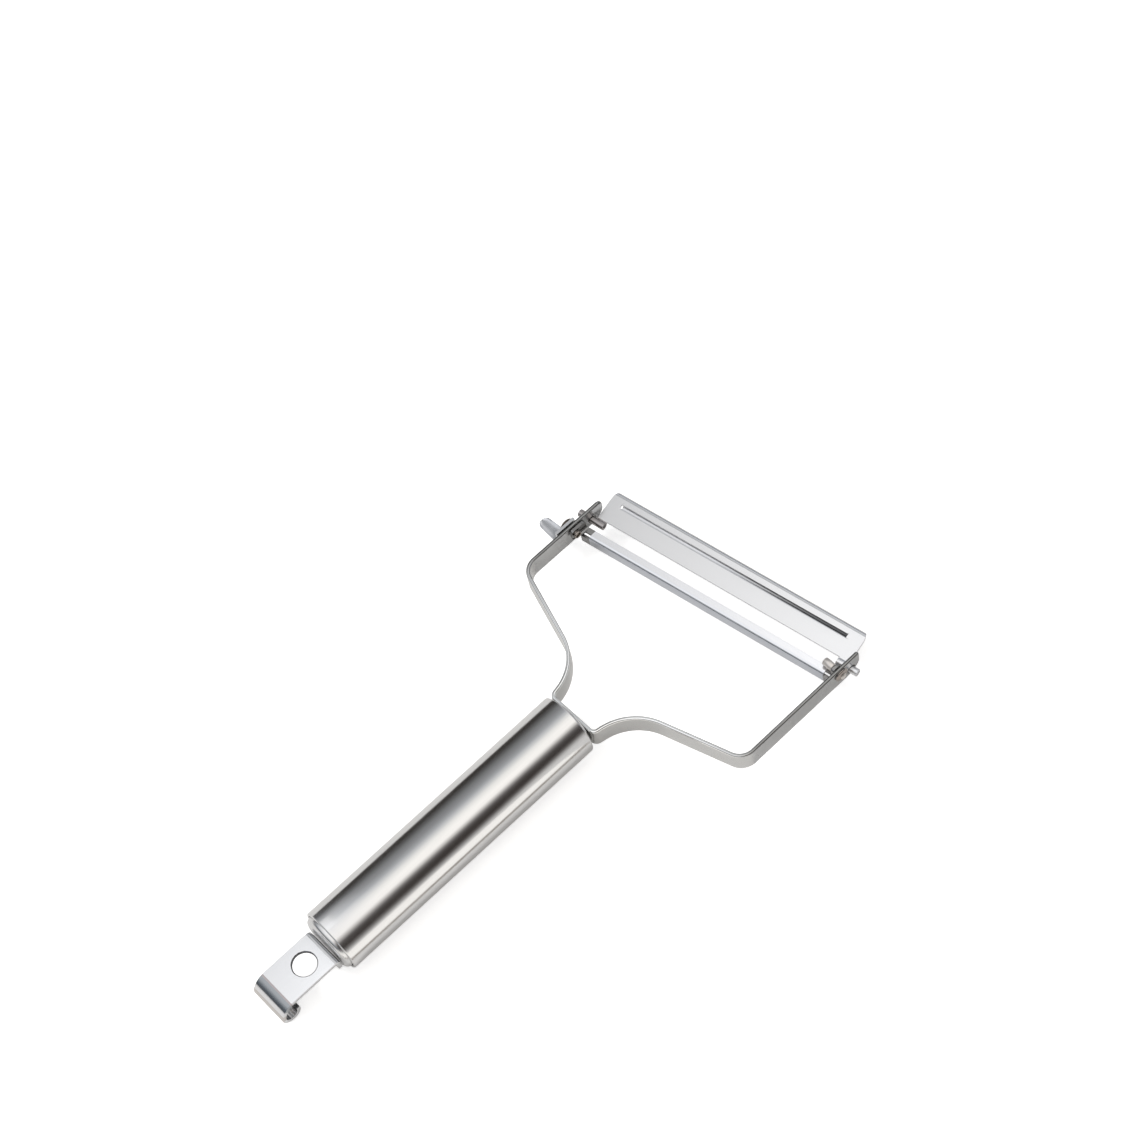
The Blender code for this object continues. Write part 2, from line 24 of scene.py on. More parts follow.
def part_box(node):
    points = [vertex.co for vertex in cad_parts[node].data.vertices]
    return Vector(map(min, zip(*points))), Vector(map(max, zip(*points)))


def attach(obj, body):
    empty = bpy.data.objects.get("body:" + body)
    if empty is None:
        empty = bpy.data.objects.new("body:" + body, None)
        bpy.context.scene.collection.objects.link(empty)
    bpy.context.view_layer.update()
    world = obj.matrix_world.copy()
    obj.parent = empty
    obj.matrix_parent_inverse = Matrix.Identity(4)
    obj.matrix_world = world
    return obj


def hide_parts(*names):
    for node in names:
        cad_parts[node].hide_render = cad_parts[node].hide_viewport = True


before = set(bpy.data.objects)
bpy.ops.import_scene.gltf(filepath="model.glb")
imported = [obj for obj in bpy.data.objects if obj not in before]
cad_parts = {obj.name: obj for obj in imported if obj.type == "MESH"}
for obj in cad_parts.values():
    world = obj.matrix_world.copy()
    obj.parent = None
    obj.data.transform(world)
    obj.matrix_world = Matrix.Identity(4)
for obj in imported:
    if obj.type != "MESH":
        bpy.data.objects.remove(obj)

LOG = logging.getLogger("wide_peeler")
MM = 0.001
TINY = 1e-6
BRUSH_DEPTH = 0.01

Colour = tuple[float, float, float]
Stops = tuple[tuple[float, Colour], ...]


class Body(Enum):
    """The two bodies that pieces ride on."""

    FRAME = "frame"
    BLADE = "blade"


class Side(Enum):
    """A side of the peeler, as the sign of its Y."""

    LEFT = 1
    RIGHT = -1

    @property
    def word(self) -> str:
        """The side's name in lower case."""
        return self.name.lower()


class Grain(Enum):
    """Which way the brushing runs, as how finely it varies along X, Y and Z."""

    LENGTHWISE = (0.04, 1.0, 1.0)
    UPRIGHT = (1.0, 1.0, 0.05)
    ALONG_BLADE = (1.0, 0.03, 1.0)
    EVEN = (0.6, 0.6, 0.6)


def datum() -> Vector:
    """The middle of the handle tube's head end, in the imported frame."""
    low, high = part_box("handle_tube")
    return Vector((high.x, (low.y + high.y) / 2, (low.z + high.z) / 2))


DATUM = datum()


# Shader groups and finishes

class NodeTree:
    """A node tree under construction, with short ways to add, feed and join nodes."""

    def __init__(self, tree: bpy.types.NodeTree) -> None:
        """Work on a tree."""
        self.tree = tree

    def link(self, source: bpy.types.NodeSocket, target: bpy.types.NodeSocket) -> None:
        """Join two sockets."""
        self.tree.links.new(source, target)

    def feed(self, node: bpy.types.Node, inputs: Mapping[str | int, object]) -> None:
        """Set or join some of a node's inputs.

        Args:
            node: The node.
            inputs: A socket or a value for each input, under its name or its place.
        """
        for key, value in inputs.items():
            if isinstance(value, bpy.types.NodeSocket):
                self.link(value, node.inputs[key])
            else:
                node.inputs[key].default_value = value

    def node(self, kind: str, inputs: Mapping[str | int, object] | None = None,
             **settings: object) -> bpy.types.Node:
        """Add a node.

        Args:
            kind: The node's type, without its ShaderNode prefix.
            inputs: A socket or a value for some of its inputs.
            settings: Values for the node's own properties.

        Returns:
            The new node.
        """
        made = self.tree.nodes.new(f"ShaderNode{kind}")
        for key, value in settings.items():
            setattr(made, key, value)
        self.feed(made, inputs or {})
        return made

    def math(self, operation: str, first: object, second: object = 0.0) -> bpy.types.NodeSocket:
        """Add a math node fed by sockets or numbers.

        Args:
            operation: The math node's operation.
            first: A socket or a number.
            second: A socket or a number, where the operation takes two.

        Returns:
            The node's result.
        """
        return self.node("Math", {0: first, 1: second}, operation=operation).outputs[0]

    def group(self, name: str, inputs: Mapping[str | int, object]) -> bpy.types.Node:
        """Place a shared group with its own values, and return its node."""
        return self.node("Group", inputs, node_tree=bpy.data.node_groups[name])


class ShaderGroup(NodeTree):
    """A shared node group under construction."""

    def __init__(self, name: str) -> None:
        """Start an empty shader group."""
        super().__init__(bpy.data.node_groups.new(name, "ShaderNodeTree"))
        self.inlet = self.tree.nodes.new("NodeGroupInput")
        self.outlet = self.tree.nodes.new("NodeGroupOutput")

    def socket(self, name: str, way: str, kind: str, value: float | None = None) -> None:
        """Add a named input or output.

        Args:
            name: The socket's name.
            way: INPUT or OUTPUT.
            kind: Float, Vector or Color.
            value: The default value of an input, if it has one.
        """
        made = self.tree.interface.new_socket(name, in_out=way, socket_type=f"NodeSocket{kind}")
        if value is not None:
            made.default_value = value

    def given(self, name: str) -> bpy.types.NodeSocket:
        """One of the group's inputs, as its own nodes see it."""
        return self.inlet.outputs[name]

    def give(self, name: str, source: bpy.types.NodeSocket) -> None:
        """Feed one of the group's outputs."""
        self.link(source, self.outlet.inputs[name])


def brushing_group() -> None:
    """Build steel_brushing, the fine drawn lines in the steel.

    It takes a Stretch and gives a Height and a Shade from 0 to 1.
    """
    group = ShaderGroup("steel_brushing")
    group.socket("Stretch", "INPUT", "Vector")
    group.socket("Height", "OUTPUT", "Float")
    group.socket("Shade", "OUTPUT", "Float")
    place = group.node("TexCoord")
    stretch = group.node("VectorMath", {0: place.outputs["Object"], 1: group.given("Stretch")},
                         operation="MULTIPLY")
    for name, scale, detail in (("Height", 9000.0, 2.0), ("Shade", 2600.0, 5.0)):
        noise = group.node("TexNoise", {
            "Vector": stretch.outputs[0], "Scale": scale, "Detail": detail})
        group.give(name, noise.outputs["Fac"])


def handling_group() -> None:
    """Build handling_marks, faint patches where the steel was handled and wiped.

    It takes an Amount and gives a Dulling, a small rise in roughness.
    """
    group = ShaderGroup("handling_marks")
    group.socket("Amount", "INPUT", "Float", 0.05)
    group.socket("Dulling", "OUTPUT", "Float")
    place = group.node("TexCoord")
    noise = group.node("TexNoise", {
        "Vector": place.outputs["Object"], "Scale": 85.0, "Detail": 4.0})
    spread = group.node("MapRange", {
        "Value": noise.outputs["Fac"], "From Min": 0.40, "From Max": 0.75})
    group.give("Dulling", group.math("MULTIPLY", spread.outputs["Result"], group.given("Amount")))


def painted_shade_group() -> None:
    """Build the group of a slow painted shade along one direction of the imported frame.

    It takes a Way, a Start, an End and a Last and gives a Level, from 1 to Last.
    """
    group = ShaderGroup("painted_shade_fade")
    group.socket("Way", "INPUT", "Vector")
    group.socket("Start", "INPUT", "Float", 0.0)
    group.socket("End", "INPUT", "Float", 1.0)
    group.socket("Last", "INPUT", "Float", 1.0)
    group.socket("Level", "OUTPUT", "Float")
    place = group.node("TexCoord")
    along = group.node("VectorMath", {0: place.outputs["Object"], 1: group.given("Way")},
                       operation="DOT_PRODUCT")
    spread = group.node("MapRange", {
        "Value": along.outputs["Value"], "To Min": 1.0, "From Min": group.given("Start"),
        "From Max": group.given("End"), "To Max": group.given("Last"),
    }, interpolation_type="SMOOTHSTEP")
    group.give("Level", spread.outputs["Result"])


def tint_group() -> None:
    """Build steel_tint, small lengthwise changes of shade in a base colour, under a slow painted
    shade.

    It takes a Color, a Shade, a Depth and a Level and gives a Color.
    """
    group = ShaderGroup("steel_tint")
    group.socket("Color", "INPUT", "Color")
    group.socket("Shade", "INPUT", "Float", 0.5)
    group.socket("Depth", "INPUT", "Float", 0.1)
    group.socket("Level", "INPUT", "Float", 1.0)
    group.socket("Color", "OUTPUT", "Color")
    away = group.math("SUBTRACT", group.given("Shade"), 0.5)
    change = group.math("MULTIPLY", away, group.given("Depth"))
    factor = group.math("MULTIPLY", group.math("ADD", change, 1.0), group.given("Level"))
    scaled = group.node("VectorMath", {0: group.given("Color"), "Scale": factor},
                        operation="SCALE")
    group.give("Color", scaled.outputs[0])


def new_material(name: str) -> tuple[bpy.types.Material, NodeTree, bpy.types.Node]:
    """Start a material.

    Args:
        name: The material's name.

    Returns:
        The material, its node tree and its Principled BSDF.
    """
    made = bpy.data.materials.new(name)
    made.use_nodes = True
    return made, NodeTree(made.node_tree), made.node_tree.nodes["Principled BSDF"]


@dataclass(frozen=True)
class Fade:
    """A slow painted shade across a finish, from its full colour to a share of it.

    Attributes:
        way: The direction that it runs in.
        start: Where it starts, in millimetres from the datum along that direction.
        end: Where it ends.
        last: The share of the colour that is left there.
    """

    way: tuple[float, float, float]
    start: float
    end: float
    last: float

    def place(self, distance: float) -> float:
        """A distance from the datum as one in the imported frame, in metres."""
        return DATUM.dot(Vector(self.way)) + distance * MM


@dataclass(frozen=True)
class Steel:
    """One steel finish.

    Attributes:
        name: The finish's name.
        slot: The material slot that it belongs to; not used.
        colour: Its colour.
        roughness: Its roughness where nobody handled it.
        grain: Which way its brushing runs.
        brushing: How deep the brushing is, from 0 to 1.
        shade_depth: How far the brushing changes its shade.
        handling: How far handling dulls it.
        fade: A slow painted shade across it, if it has one.
    """

    name: str
    slot: str
    colour: Colour
    roughness: float
    grain: Grain
    brushing: float
    shade_depth: float = 0.10
    handling: float = 0.04
    fade: Fade | None = None

    def material(self) -> bpy.types.Material:
        """The finish's material, made when it is first asked for."""
        return bpy.data.materials.get(self.name) or self._make()

    def _make(self) -> bpy.types.Material:
        """Make the finish's material.

        Returns:
            A metallic material with brushed height, shade and handling marks.
        """
        made, tree, shader = new_material(self.name)
        brushing = tree.group("steel_brushing", {"Stretch": self.grain.value})
        tint = tree.group("steel_tint", {
            "Color": (*self.colour, 1.0), "Shade": brushing.outputs["Shade"],
            "Depth": self.shade_depth})
        if self.fade:
            fade = tree.group("painted_shade_fade", {
                "Way": self.fade.way, "Start": self.fade.place(self.fade.start),
                "End": self.fade.place(self.fade.end), "Last": self.fade.last})
            tree.feed(tint, {"Level": fade.outputs["Level"]})
        marks = tree.group("handling_marks", {"Amount": self.handling})
        bump = tree.node("Bump", {
            "Strength": self.brushing, "Distance": BRUSH_DEPTH * MM,
            "Height": brushing.outputs["Height"]})
        tree.feed(shader, {
            "Metallic": 1.0,
            "Base Color": tint.outputs["Color"],
            "Roughness": tree.math("ADD", marks.outputs["Dulling"], self.roughness),
            "Normal": bump.outputs["Normal"],
        })
        return made


AHEAD = (1.0, 0.0, 0.0)
RIGHTWARD = (0.0, -1.0, 0.0)

TUBE_STEEL = Steel("satin_tube", "satin_steel", (0.74, 0.735, 0.73), roughness=0.14,
                   grain=Grain.LENGTHWISE, brushing=0.10, shade_depth=0.08)
CAP_STEEL = Steel("pressed_cap", "satin_steel", (0.74, 0.735, 0.73), roughness=0.22,
                  grain=Grain.EVEN, brushing=0.06)
STRIP_STEEL = Steel("brushed_strip", "satin_steel", (0.66, 0.655, 0.64), roughness=0.24,
                    grain=Grain.UPRIGHT, brushing=0.09, shade_depth=0.08)
# Painted shade: a darker copy of the strip steel on the arms' faces that face right, darker
# further ahead.
ARM_SHADE_STEEL = Steel("arm_side_painted_shade", "satin_steel", (0.62, 0.62, 0.615), roughness=0.26,
                  grain=Grain.UPRIGHT, brushing=0.09, shade_depth=0.12,
                  fade=Fade(AHEAD, start=27.0, end=50.0, last=0.86))
# Painted highlight on the strip's upper and lower edges near the neck, turning into painted shade
# along the arms.
EDGE_LIGHT_SHADE_STEEL = Steel("strip_edge_painted_light_and_shade", "satin_steel", (0.90, 0.90, 0.885), roughness=0.15,
                   grain=Grain.EVEN, brushing=0.01, shade_depth=0.02, handling=0.02,
                   fade=Fade(AHEAD, start=17.0, end=30.0, last=0.33))
BLADE_STEEL = Steel("blade_sheet", "blade_steel", (0.82, 0.82, 0.83), roughness=0.24,
                    grain=Grain.ALONG_BLADE, brushing=0.08, shade_depth=0.03, handling=0.02)
# Painted shade: the ramp under the slot, darker and darker towards the right end.
SLOT_SHADE_STEEL = Steel("slot_ramp_painted_shade", "blade_steel", (0.80, 0.80, 0.81), roughness=0.24,
                   grain=Grain.ALONG_BLADE, brushing=0.06, shade_depth=0.03,
                   fade=Fade(RIGHTWARD, start=-18.0, end=32.0, last=0.24))
# Painted shade: a darker copy of the blade steel on the left rolled tongue.
TONGUE_SHADE_STEEL = Steel("rolled_tongue_painted_shade", "blade_steel", (0.46, 0.43, 0.42), roughness=0.20,
                     grain=Grain.EVEN, brushing=0.06)
BAR_STEEL = Steel("bar_sheet", "polished_steel", (0.86, 0.865, 0.885), roughness=0.15,
                  grain=Grain.ALONG_BLADE, brushing=0.08, shade_depth=0.04)
# Painted shade: a darker, bluer copy of the bar steel on the bar's upright web.
WEB_SHADE_STEEL = Steel("bar_web_painted_shade", "polished_steel", (0.58, 0.60, 0.645), roughness=0.15,
                  grain=Grain.ALONG_BLADE, brushing=0.08, shade_depth=0.16)
# Painted shade: a dark copy of the bar steel on the ends beyond the slits, with the turned-up
# ears.
EAR_SHADE_STEEL = Steel("bar_ear_painted_shade", "polished_steel", (0.30, 0.295, 0.29), roughness=0.22,
                  grain=Grain.EVEN, brushing=0.06)
TAB_STEEL = Steel("tab_sheet", "polished_steel", (0.83, 0.83, 0.835), roughness=0.17,
                  grain=Grain.LENGTHWISE, brushing=0.08, shade_depth=0.05)
# Painted shade: a dark copy of the tab steel on the wall of the tab's hole.
HOLE_SHADE_STEEL = Steel("tab_hole_wall_painted_shade", "polished_steel", (0.28, 0.28, 0.29), roughness=0.22,
                   grain=Grain.EVEN, brushing=0.03)
# Painted shade: bands of darker copies of the tab steel on the crease and the curl, chosen by the
# slope of their faces.
CREASE_SHADE_STEEL = Steel("tab_crease_painted_shade", "polished_steel", (0.50, 0.455, 0.445), roughness=0.22,
                     grain=Grain.EVEN, brushing=0.03)
CURL_SHADE_STEEL = Steel("tab_painted_curl_shade", "polished_steel", (0.40, 0.42, 0.435), roughness=0.20,
                   grain=Grain.ALONG_BLADE, brushing=0.08, shade_depth=0.12)
CURL_FOOT_SHADE_STEEL = Steel("tab_painted_curl_foot_shade", "polished_steel", (0.66, 0.625, 0.60), roughness=0.20,
                        grain=Grain.ALONG_BLADE, brushing=0.08, shade_depth=0.06)
# Painted shade: a dark ring round the nub on the right rivet's head.
RIM_SHADE_STEEL = Steel("rivet_rim_painted_shade", "rivet_steel", (0.40, 0.355, 0.32), roughness=0.16,
                  grain=Grain.EVEN, brushing=0.05)
RIVET_STEEL = Steel("rivet_steel", "rivet_steel", (0.60, 0.55, 0.50), roughness=0.12,
                    grain=Grain.EVEN, brushing=0.05)
# Painted shade: a darker copy of the rivet steel for the left rivet and its collar.
LEFT_RIVET_SHADE_STEEL = Steel("left_rivet_painted_shade", "rivet_steel", (0.36, 0.32, 0.285), roughness=0.20,
                     grain=Grain.EVEN, brushing=0.05)
EYE_STEEL = Steel("eye_tab_sheet", "satin_steel", (0.74, 0.745, 0.76), roughness=0.24,
                  grain=Grain.EVEN, brushing=0.08)


# Mesh making

def bent_path(corners: Sequence[tuple[float, float, float]], step: float) -> list[Vector]:
    """Points along straight runs joined by arcs of three steps or more.

    Args:
        corners: Each corner as (a, b, bend radius), the two ends with any radius.
        step: The largest turn between two points of an arc, in degrees.

    Returns:
        The points, from the first corner to the last.
    """
    points = [Vector(corners[0][:2])]
    for before, corner, after in zip(corners, corners[1:], corners[2:]):
        here, radius = Vector(corner[:2]), corner[2]
        back = (Vector(before[:2]) - here).normalized()
        onward = (Vector(after[:2]) - here).normalized()
        turn = math.pi - back.angle(onward)
        start = here + back * radius * math.tan(turn / 2)
        hand = 1.0 if back.x * onward.y - back.y * onward.x < 0 else -1.0
        centre = start + Vector((back.y, -back.x)) * hand * radius
        count = max(3, math.ceil(math.degrees(turn) / step))
        for index in range(count + 1):
            spin = Matrix.Rotation(hand * turn * index / count, 2)
            points.append(centre + spin @ (start - centre))
    points.append(Vector(corners[-1][:2]))
    return points


def arc(centre: Vector, radius: float, start: float, sweep: float, steps: int) -> list[Vector]:
    """Points on an arc in a plane, both ends included.

    Args:
        centre: The arc's centre.
        radius: Its radius.
        start: The angle of its first point, in radians.
        sweep: How far it turns, in radians.
        steps: How many equal steps it takes.

    Returns:
        The points.
    """
    angles = (start + sweep * index / steps for index in range(steps + 1))
    return [centre + radius * Vector((math.cos(a), math.sin(a))) for a in angles]


def new_object(name: str, shape: bmesh.types.BMesh, placing: Matrix) -> bpy.types.Object:
    """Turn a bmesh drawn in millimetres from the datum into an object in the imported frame.

    Args:
        name: The object's name.
        shape: The bmesh, which is freed.
        placing: Where it goes, in millimetres from the datum.

    Returns:
        The object, with its place in its mesh.
    """
    bmesh.ops.recalc_face_normals(shape, faces=shape.faces)
    mesh = bpy.data.meshes.new(name)
    shape.to_mesh(mesh)
    shape.free()
    mesh.transform(Matrix.Translation(DATUM) @ Matrix.Scale(MM, 4) @ placing)
    mesh.shade_smooth()
    made = bpy.data.objects.new(name, mesh)
    bpy.context.scene.collection.objects.link(made)
    return made


@dataclass(frozen=True)
class Flap:
    """A flap folded off one row of a grid."""

    rows: list[list[Vector]]
    row: int
    joined: list[bool]


def grid_object(name: str, rows: Sequence[Sequence[Vector]],
                filled: Callable[[int, int], bool] | None = None,
                placing: Matrix | None = None, flap: Flap | None = None) -> bpy.types.Object:
    """A bent sheet's middle surface as a grid of points with some of its cells filled.

    Args:
        name: The object's name.
        rows: Rows of equally many points, in millimetres.
        filled: Says whether the cell after row i and column j has a face. All have by default.
        placing: Where the grid goes, from the datum.
        flap: A flap that is folded off one of the rows.

    Returns:
        The surface, with no thickness yet.
    """
    shape = bmesh.new()
    made: dict[tuple[int, int], bmesh.types.BMVert] = {}

    def vertex(i: int, j: int) -> bmesh.types.BMVert:
        """The grid's vertex at a place, made when it is first asked for.

        Args:
            i: Its row.
            j: Its column.

        Returns:
            The vertex.
        """
        if (i, j) not in made:
            made[i, j] = shape.verts.new(rows[i][j])
        return made[i, j]

    for i in range(len(rows) - 1):
        for j in range(len(rows[0]) - 1):
            if filled is None or filled(i, j):
                shape.faces.new((vertex(i, j), vertex(i, j + 1),
                                 vertex(i + 1, j + 1), vertex(i + 1, j)))
    if flap:
        joined = [j for j, join in enumerate(flap.joined) if join]
        last = {j: vertex(flap.row, j) for j in joined}
        for points in flap.rows:
            free = {j: shape.verts.new(points[j]) for j in joined}
            for j in joined[:-1]:
                shape.faces.new((last[j], last[j + 1], free[j + 1], free[j]))
            last = free
    return new_object(name, shape, placing or Matrix.Identity(4))


def turned_object(name: str, profile: Sequence[tuple[float, float]], placing: Matrix,
                  steps: int) -> bpy.types.Object:
    """A closed solid turned about its own Z axis.

    Args:
        name: The object's name.
        profile: (radius, height) points in millimetres. It runs from the axis back to the
            axis, or all the way round the section of a ring.
        placing: Where the solid goes, from the datum.
        steps: How many facets go round.

    Returns:
        The solid.
    """
    shape = bmesh.new()
    rings = []
    for radius, height in profile:
        if radius < TINY:
            rings.append([shape.verts.new((0.0, 0.0, height))] * steps)
            continue
        turns = (2 * math.pi * index / steps for index in range(steps))
        rings.append([
            shape.verts.new((radius * math.cos(a), radius * math.sin(a), height)) for a in turns
        ])
    pairs = list(zip(rings, rings[1:]))
    if profile[0][0] > TINY:
        pairs.append((rings[-1], rings[0]))
    for first, second in pairs:
        for index in range(steps):
            onward = (index + 1) % steps
            corners = (first[index], first[onward], second[onward], second[index])
            shape.faces.new(dict.fromkeys(corners))
    return new_object(name, shape, placing)


def swept_object(name: str, rings: Sequence[Sequence[Vector]]) -> bpy.types.Object:
    """A closed solid skinned over rings of equally many points.

    Args:
        name: The object's name.
        rings: The rings in order, in millimetres from the datum. The two ends are capped.

    Returns:
        The solid.
    """
    shape = bmesh.new()
    made = [[shape.verts.new(point) for point in ring] for ring in rings]
    for first, second in zip(made, made[1:]):
        for index in range(len(first)):
            onward = (index + 1) % len(first)
            shape.faces.new((first[index], first[onward], second[onward], second[index]))
    for ring in (made[0], made[-1]):
        shape.faces.new(ring)
    return new_object(name, shape, Matrix.Identity(4))


def thicken(piece: bpy.types.Object, thickness: float, edge: float) -> None:
    """Give a surface its sheet thickness, both ways, and round its edges.

    Args:
        piece: The surface.
        thickness: The sheet's thickness in millimetres.
        edge: The width of the edges' rounding in millimetres.
    """
    solidify = piece.modifiers.new("thickness", "SOLIDIFY")
    solidify.thickness = thickness * MM
    solidify.offset = 0.0
    solidify.use_even_offset = True
    solidify.use_quality_normals = True
    round_edges(piece, edge)


def round_edges(piece: bpy.types.Object, edge: float, angle: float = 38.0) -> None:
    """Round a piece's sharp edges and keep its flats flat.

    Args:
        piece: The piece.
        edge: The width of the rounding in millimetres.
        angle: The least angle of an edge that is rounded, in degrees.
    """
    bevel = piece.modifiers.new("edges", "BEVEL")
    bevel.width = edge * MM
    bevel.segments = 3
    bevel.limit_method = "ANGLE"
    bevel.angle_limit = math.radians(angle)
    bevel.miter_outer = "MITER_ARC"
    normals = piece.modifiers.new("flats", "WEIGHTED_NORMAL")
    normals.keep_sharp = True
    normals.weight = 60


CUTTER_FACETS = 40
CUTTER_FLARE = 1.0


def cut_hole(piece: bpy.types.Object, radius: float, length: float, placing: Matrix,
             wall: int = 0, chamfer: float = 0.0) -> None:
    """Cut a round hole through a piece, before its edges are rounded.

    Args:
        piece: The piece, which already has its thickness.
        radius: The hole's radius in millimetres.
        length: The cutter's length in millimetres.
        placing: The middle and direction of the hole, along Z, from the datum.
        wall: Which of the piece's finishes the hole's wall gets.
        chamfer: The width of a chamfer at both ends, for a cutter of the sheet's thickness.
    """
    half = [(radius, length / 2)]
    if chamfer:
        half = [(radius + chamfer + CUTTER_FLARE, length / 2 + CUTTER_FLARE),
                (radius, length / 2 - chamfer)]
    profile = [(0.0, half[0][1]), *half, *((r, -z) for r, z in reversed(half)),
               (0.0, -half[0][1])]
    cutter = turned_object(f"{piece.name}_hole_{len(piece.modifiers)}", profile, placing,
                           CUTTER_FACETS)
    for face in cutter.data.polygons:
        face.material_index = wall
    cutter.hide_render = True
    cutter.hide_viewport = True
    cut = piece.modifiers.new("hole", "BOOLEAN")
    cut.object = cutter
    cut.operation = "DIFFERENCE"
    cut.solver = "EXACT"
    place = next(i for i, m in enumerate(piece.modifiers) if m.type == "BEVEL")
    piece.modifiers.move(len(piece.modifiers) - 1, place)


def turn_z_to_x(x: float, way: int = 1) -> Matrix:
    """Lay a turned solid's axis along X, with its height 0 at x, pointing ahead or back."""
    return Matrix.Translation((x, 0, 0)) @ Matrix.Rotation(way * math.pi / 2, 4, "Y")


def turn_z_to_y(point: Sequence[float], side: Side = Side.LEFT) -> Matrix:
    """Lay a turned solid's axis along Y, pointing out of one side.

    Args:
        point: Where its height 0 goes, from the datum.
        side: The side that its axis points to.

    Returns:
        The placing.
    """
    turn = Matrix.Rotation(-side.value * math.pi / 2, 4, "X")
    return Matrix.Translation(Vector(point)) @ turn


def middle_of(face: bpy.types.MeshPolygon) -> Vector:
    """Where a face of a piece's mesh is, in millimetres from the datum."""
    return (face.center - DATUM) / MM


class Piece:
    """What the sub-assemblies share: dressing a mesh and reporting it."""

    body: Body = Body.FRAME

    def dress(self, piece: bpy.types.Object, node: str, steel: Steel) -> None:
        """Finish a piece, and let it ride and stand for its CAD node.

        Args:
            piece: The piece's object.
            node: The CAD node that it stands for.
            steel: Its finish.
        """
        piece.data.materials.append(steel.material())
        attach(piece, self.body.value)
        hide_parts(node)
        LOG.info("%s stands for %s on body %s", piece.name, node, self.body.value)

    @staticmethod
    def patch(piece: bpy.types.Object, steel: Steel,
              chosen: Callable[[bpy.types.MeshPolygon], bool]) -> None:
        """Give some of a dressed piece's faces another finish: a lighter or darker copy, painted
        highlight and shade.

        Args:
            piece: The piece.
            steel: The other finish, of the same slot.
            chosen: Says which faces of the mesh get it.
        """
        index = len(piece.data.materials)
        piece.data.materials.append(steel.material())
        for face in piece.data.polygons:
            if chosen(face):
                face.material_index = index


# Sub-assemblies

@dataclass
class Handle(Piece):
    """The tube and its two pressed caps."""

    radius: float = 9.5
    length: float = 87.3
    wall: float = 0.8
    facets: int = 160
    cap_gap: float = 0.3
    cap_wall: float = 0.8
    cap_skirt: float = 5.0
    cap_edge: float = 0.15
    cap_facets: int = 128
    bend_steps: int = 10
    shoulder: float = 1.6
    head_rise: float = 0.8
    tail_rise: float = 1.6

    def build(self) -> None:
        """Build the tube and both caps."""
        self._tube()
        self._cap("head_cap", self.head_rise, turn_z_to_x(0.0))
        self._cap("tail_cap", self.tail_rise, turn_z_to_x(-self.length, -1))

    def _tube(self) -> None:
        """Turn the tube with a rounded rim at each end."""
        half = self.wall / 2
        middle = self.radius - half
        head = arc(Vector((middle, -half)), half, math.pi, -math.pi, self.bend_steps)
        tail = arc(Vector((middle, half - self.length)), half, 0.0, -math.pi, self.bend_steps)
        profile = [(p.x, p.y) for p in [*head, *tail]]
        tube = turned_object("handle_tube_visual", profile, turn_z_to_x(0.0), self.facets)
        self.dress(tube, "handle_tube", TUBE_STEEL)

    def _cap(self, node: str, rise: float, placing: Matrix) -> None:
        """Turn one cap.

        Args:
            node: The CAD node that it stands for.
            rise: How far its flat face stands out of the tube's end.
            placing: The tube's end, with Z out of it.
        """
        outer = self.radius - self.wall - self.cap_gap
        inner = outer - self.cap_wall
        drop = min(self.shoulder, rise)
        shoulder = [
            (outer - self.shoulder * (1 - math.sin(a)), rise - drop * (1 - math.cos(a)))
            for a in (math.pi / 2 * index / self.bend_steps
                      for index in range(self.bend_steps + 1))
        ]
        flat = outer - self.shoulder
        low, edge = -self.cap_skirt, self.cap_edge
        profile = [
            (0.0, rise), (flat / 2, rise), *shoulder,
            (outer, low + edge), (outer - edge, low), (inner + edge, low), (inner, low + edge),
            (inner, rise - drop - self.cap_wall), (flat, rise - self.cap_wall),
            (0.0, rise - self.cap_wall),
        ]
        cap = turned_object(f"{node}_visual", profile, placing, self.cap_facets)
        self.dress(cap, node, CAP_STEEL)


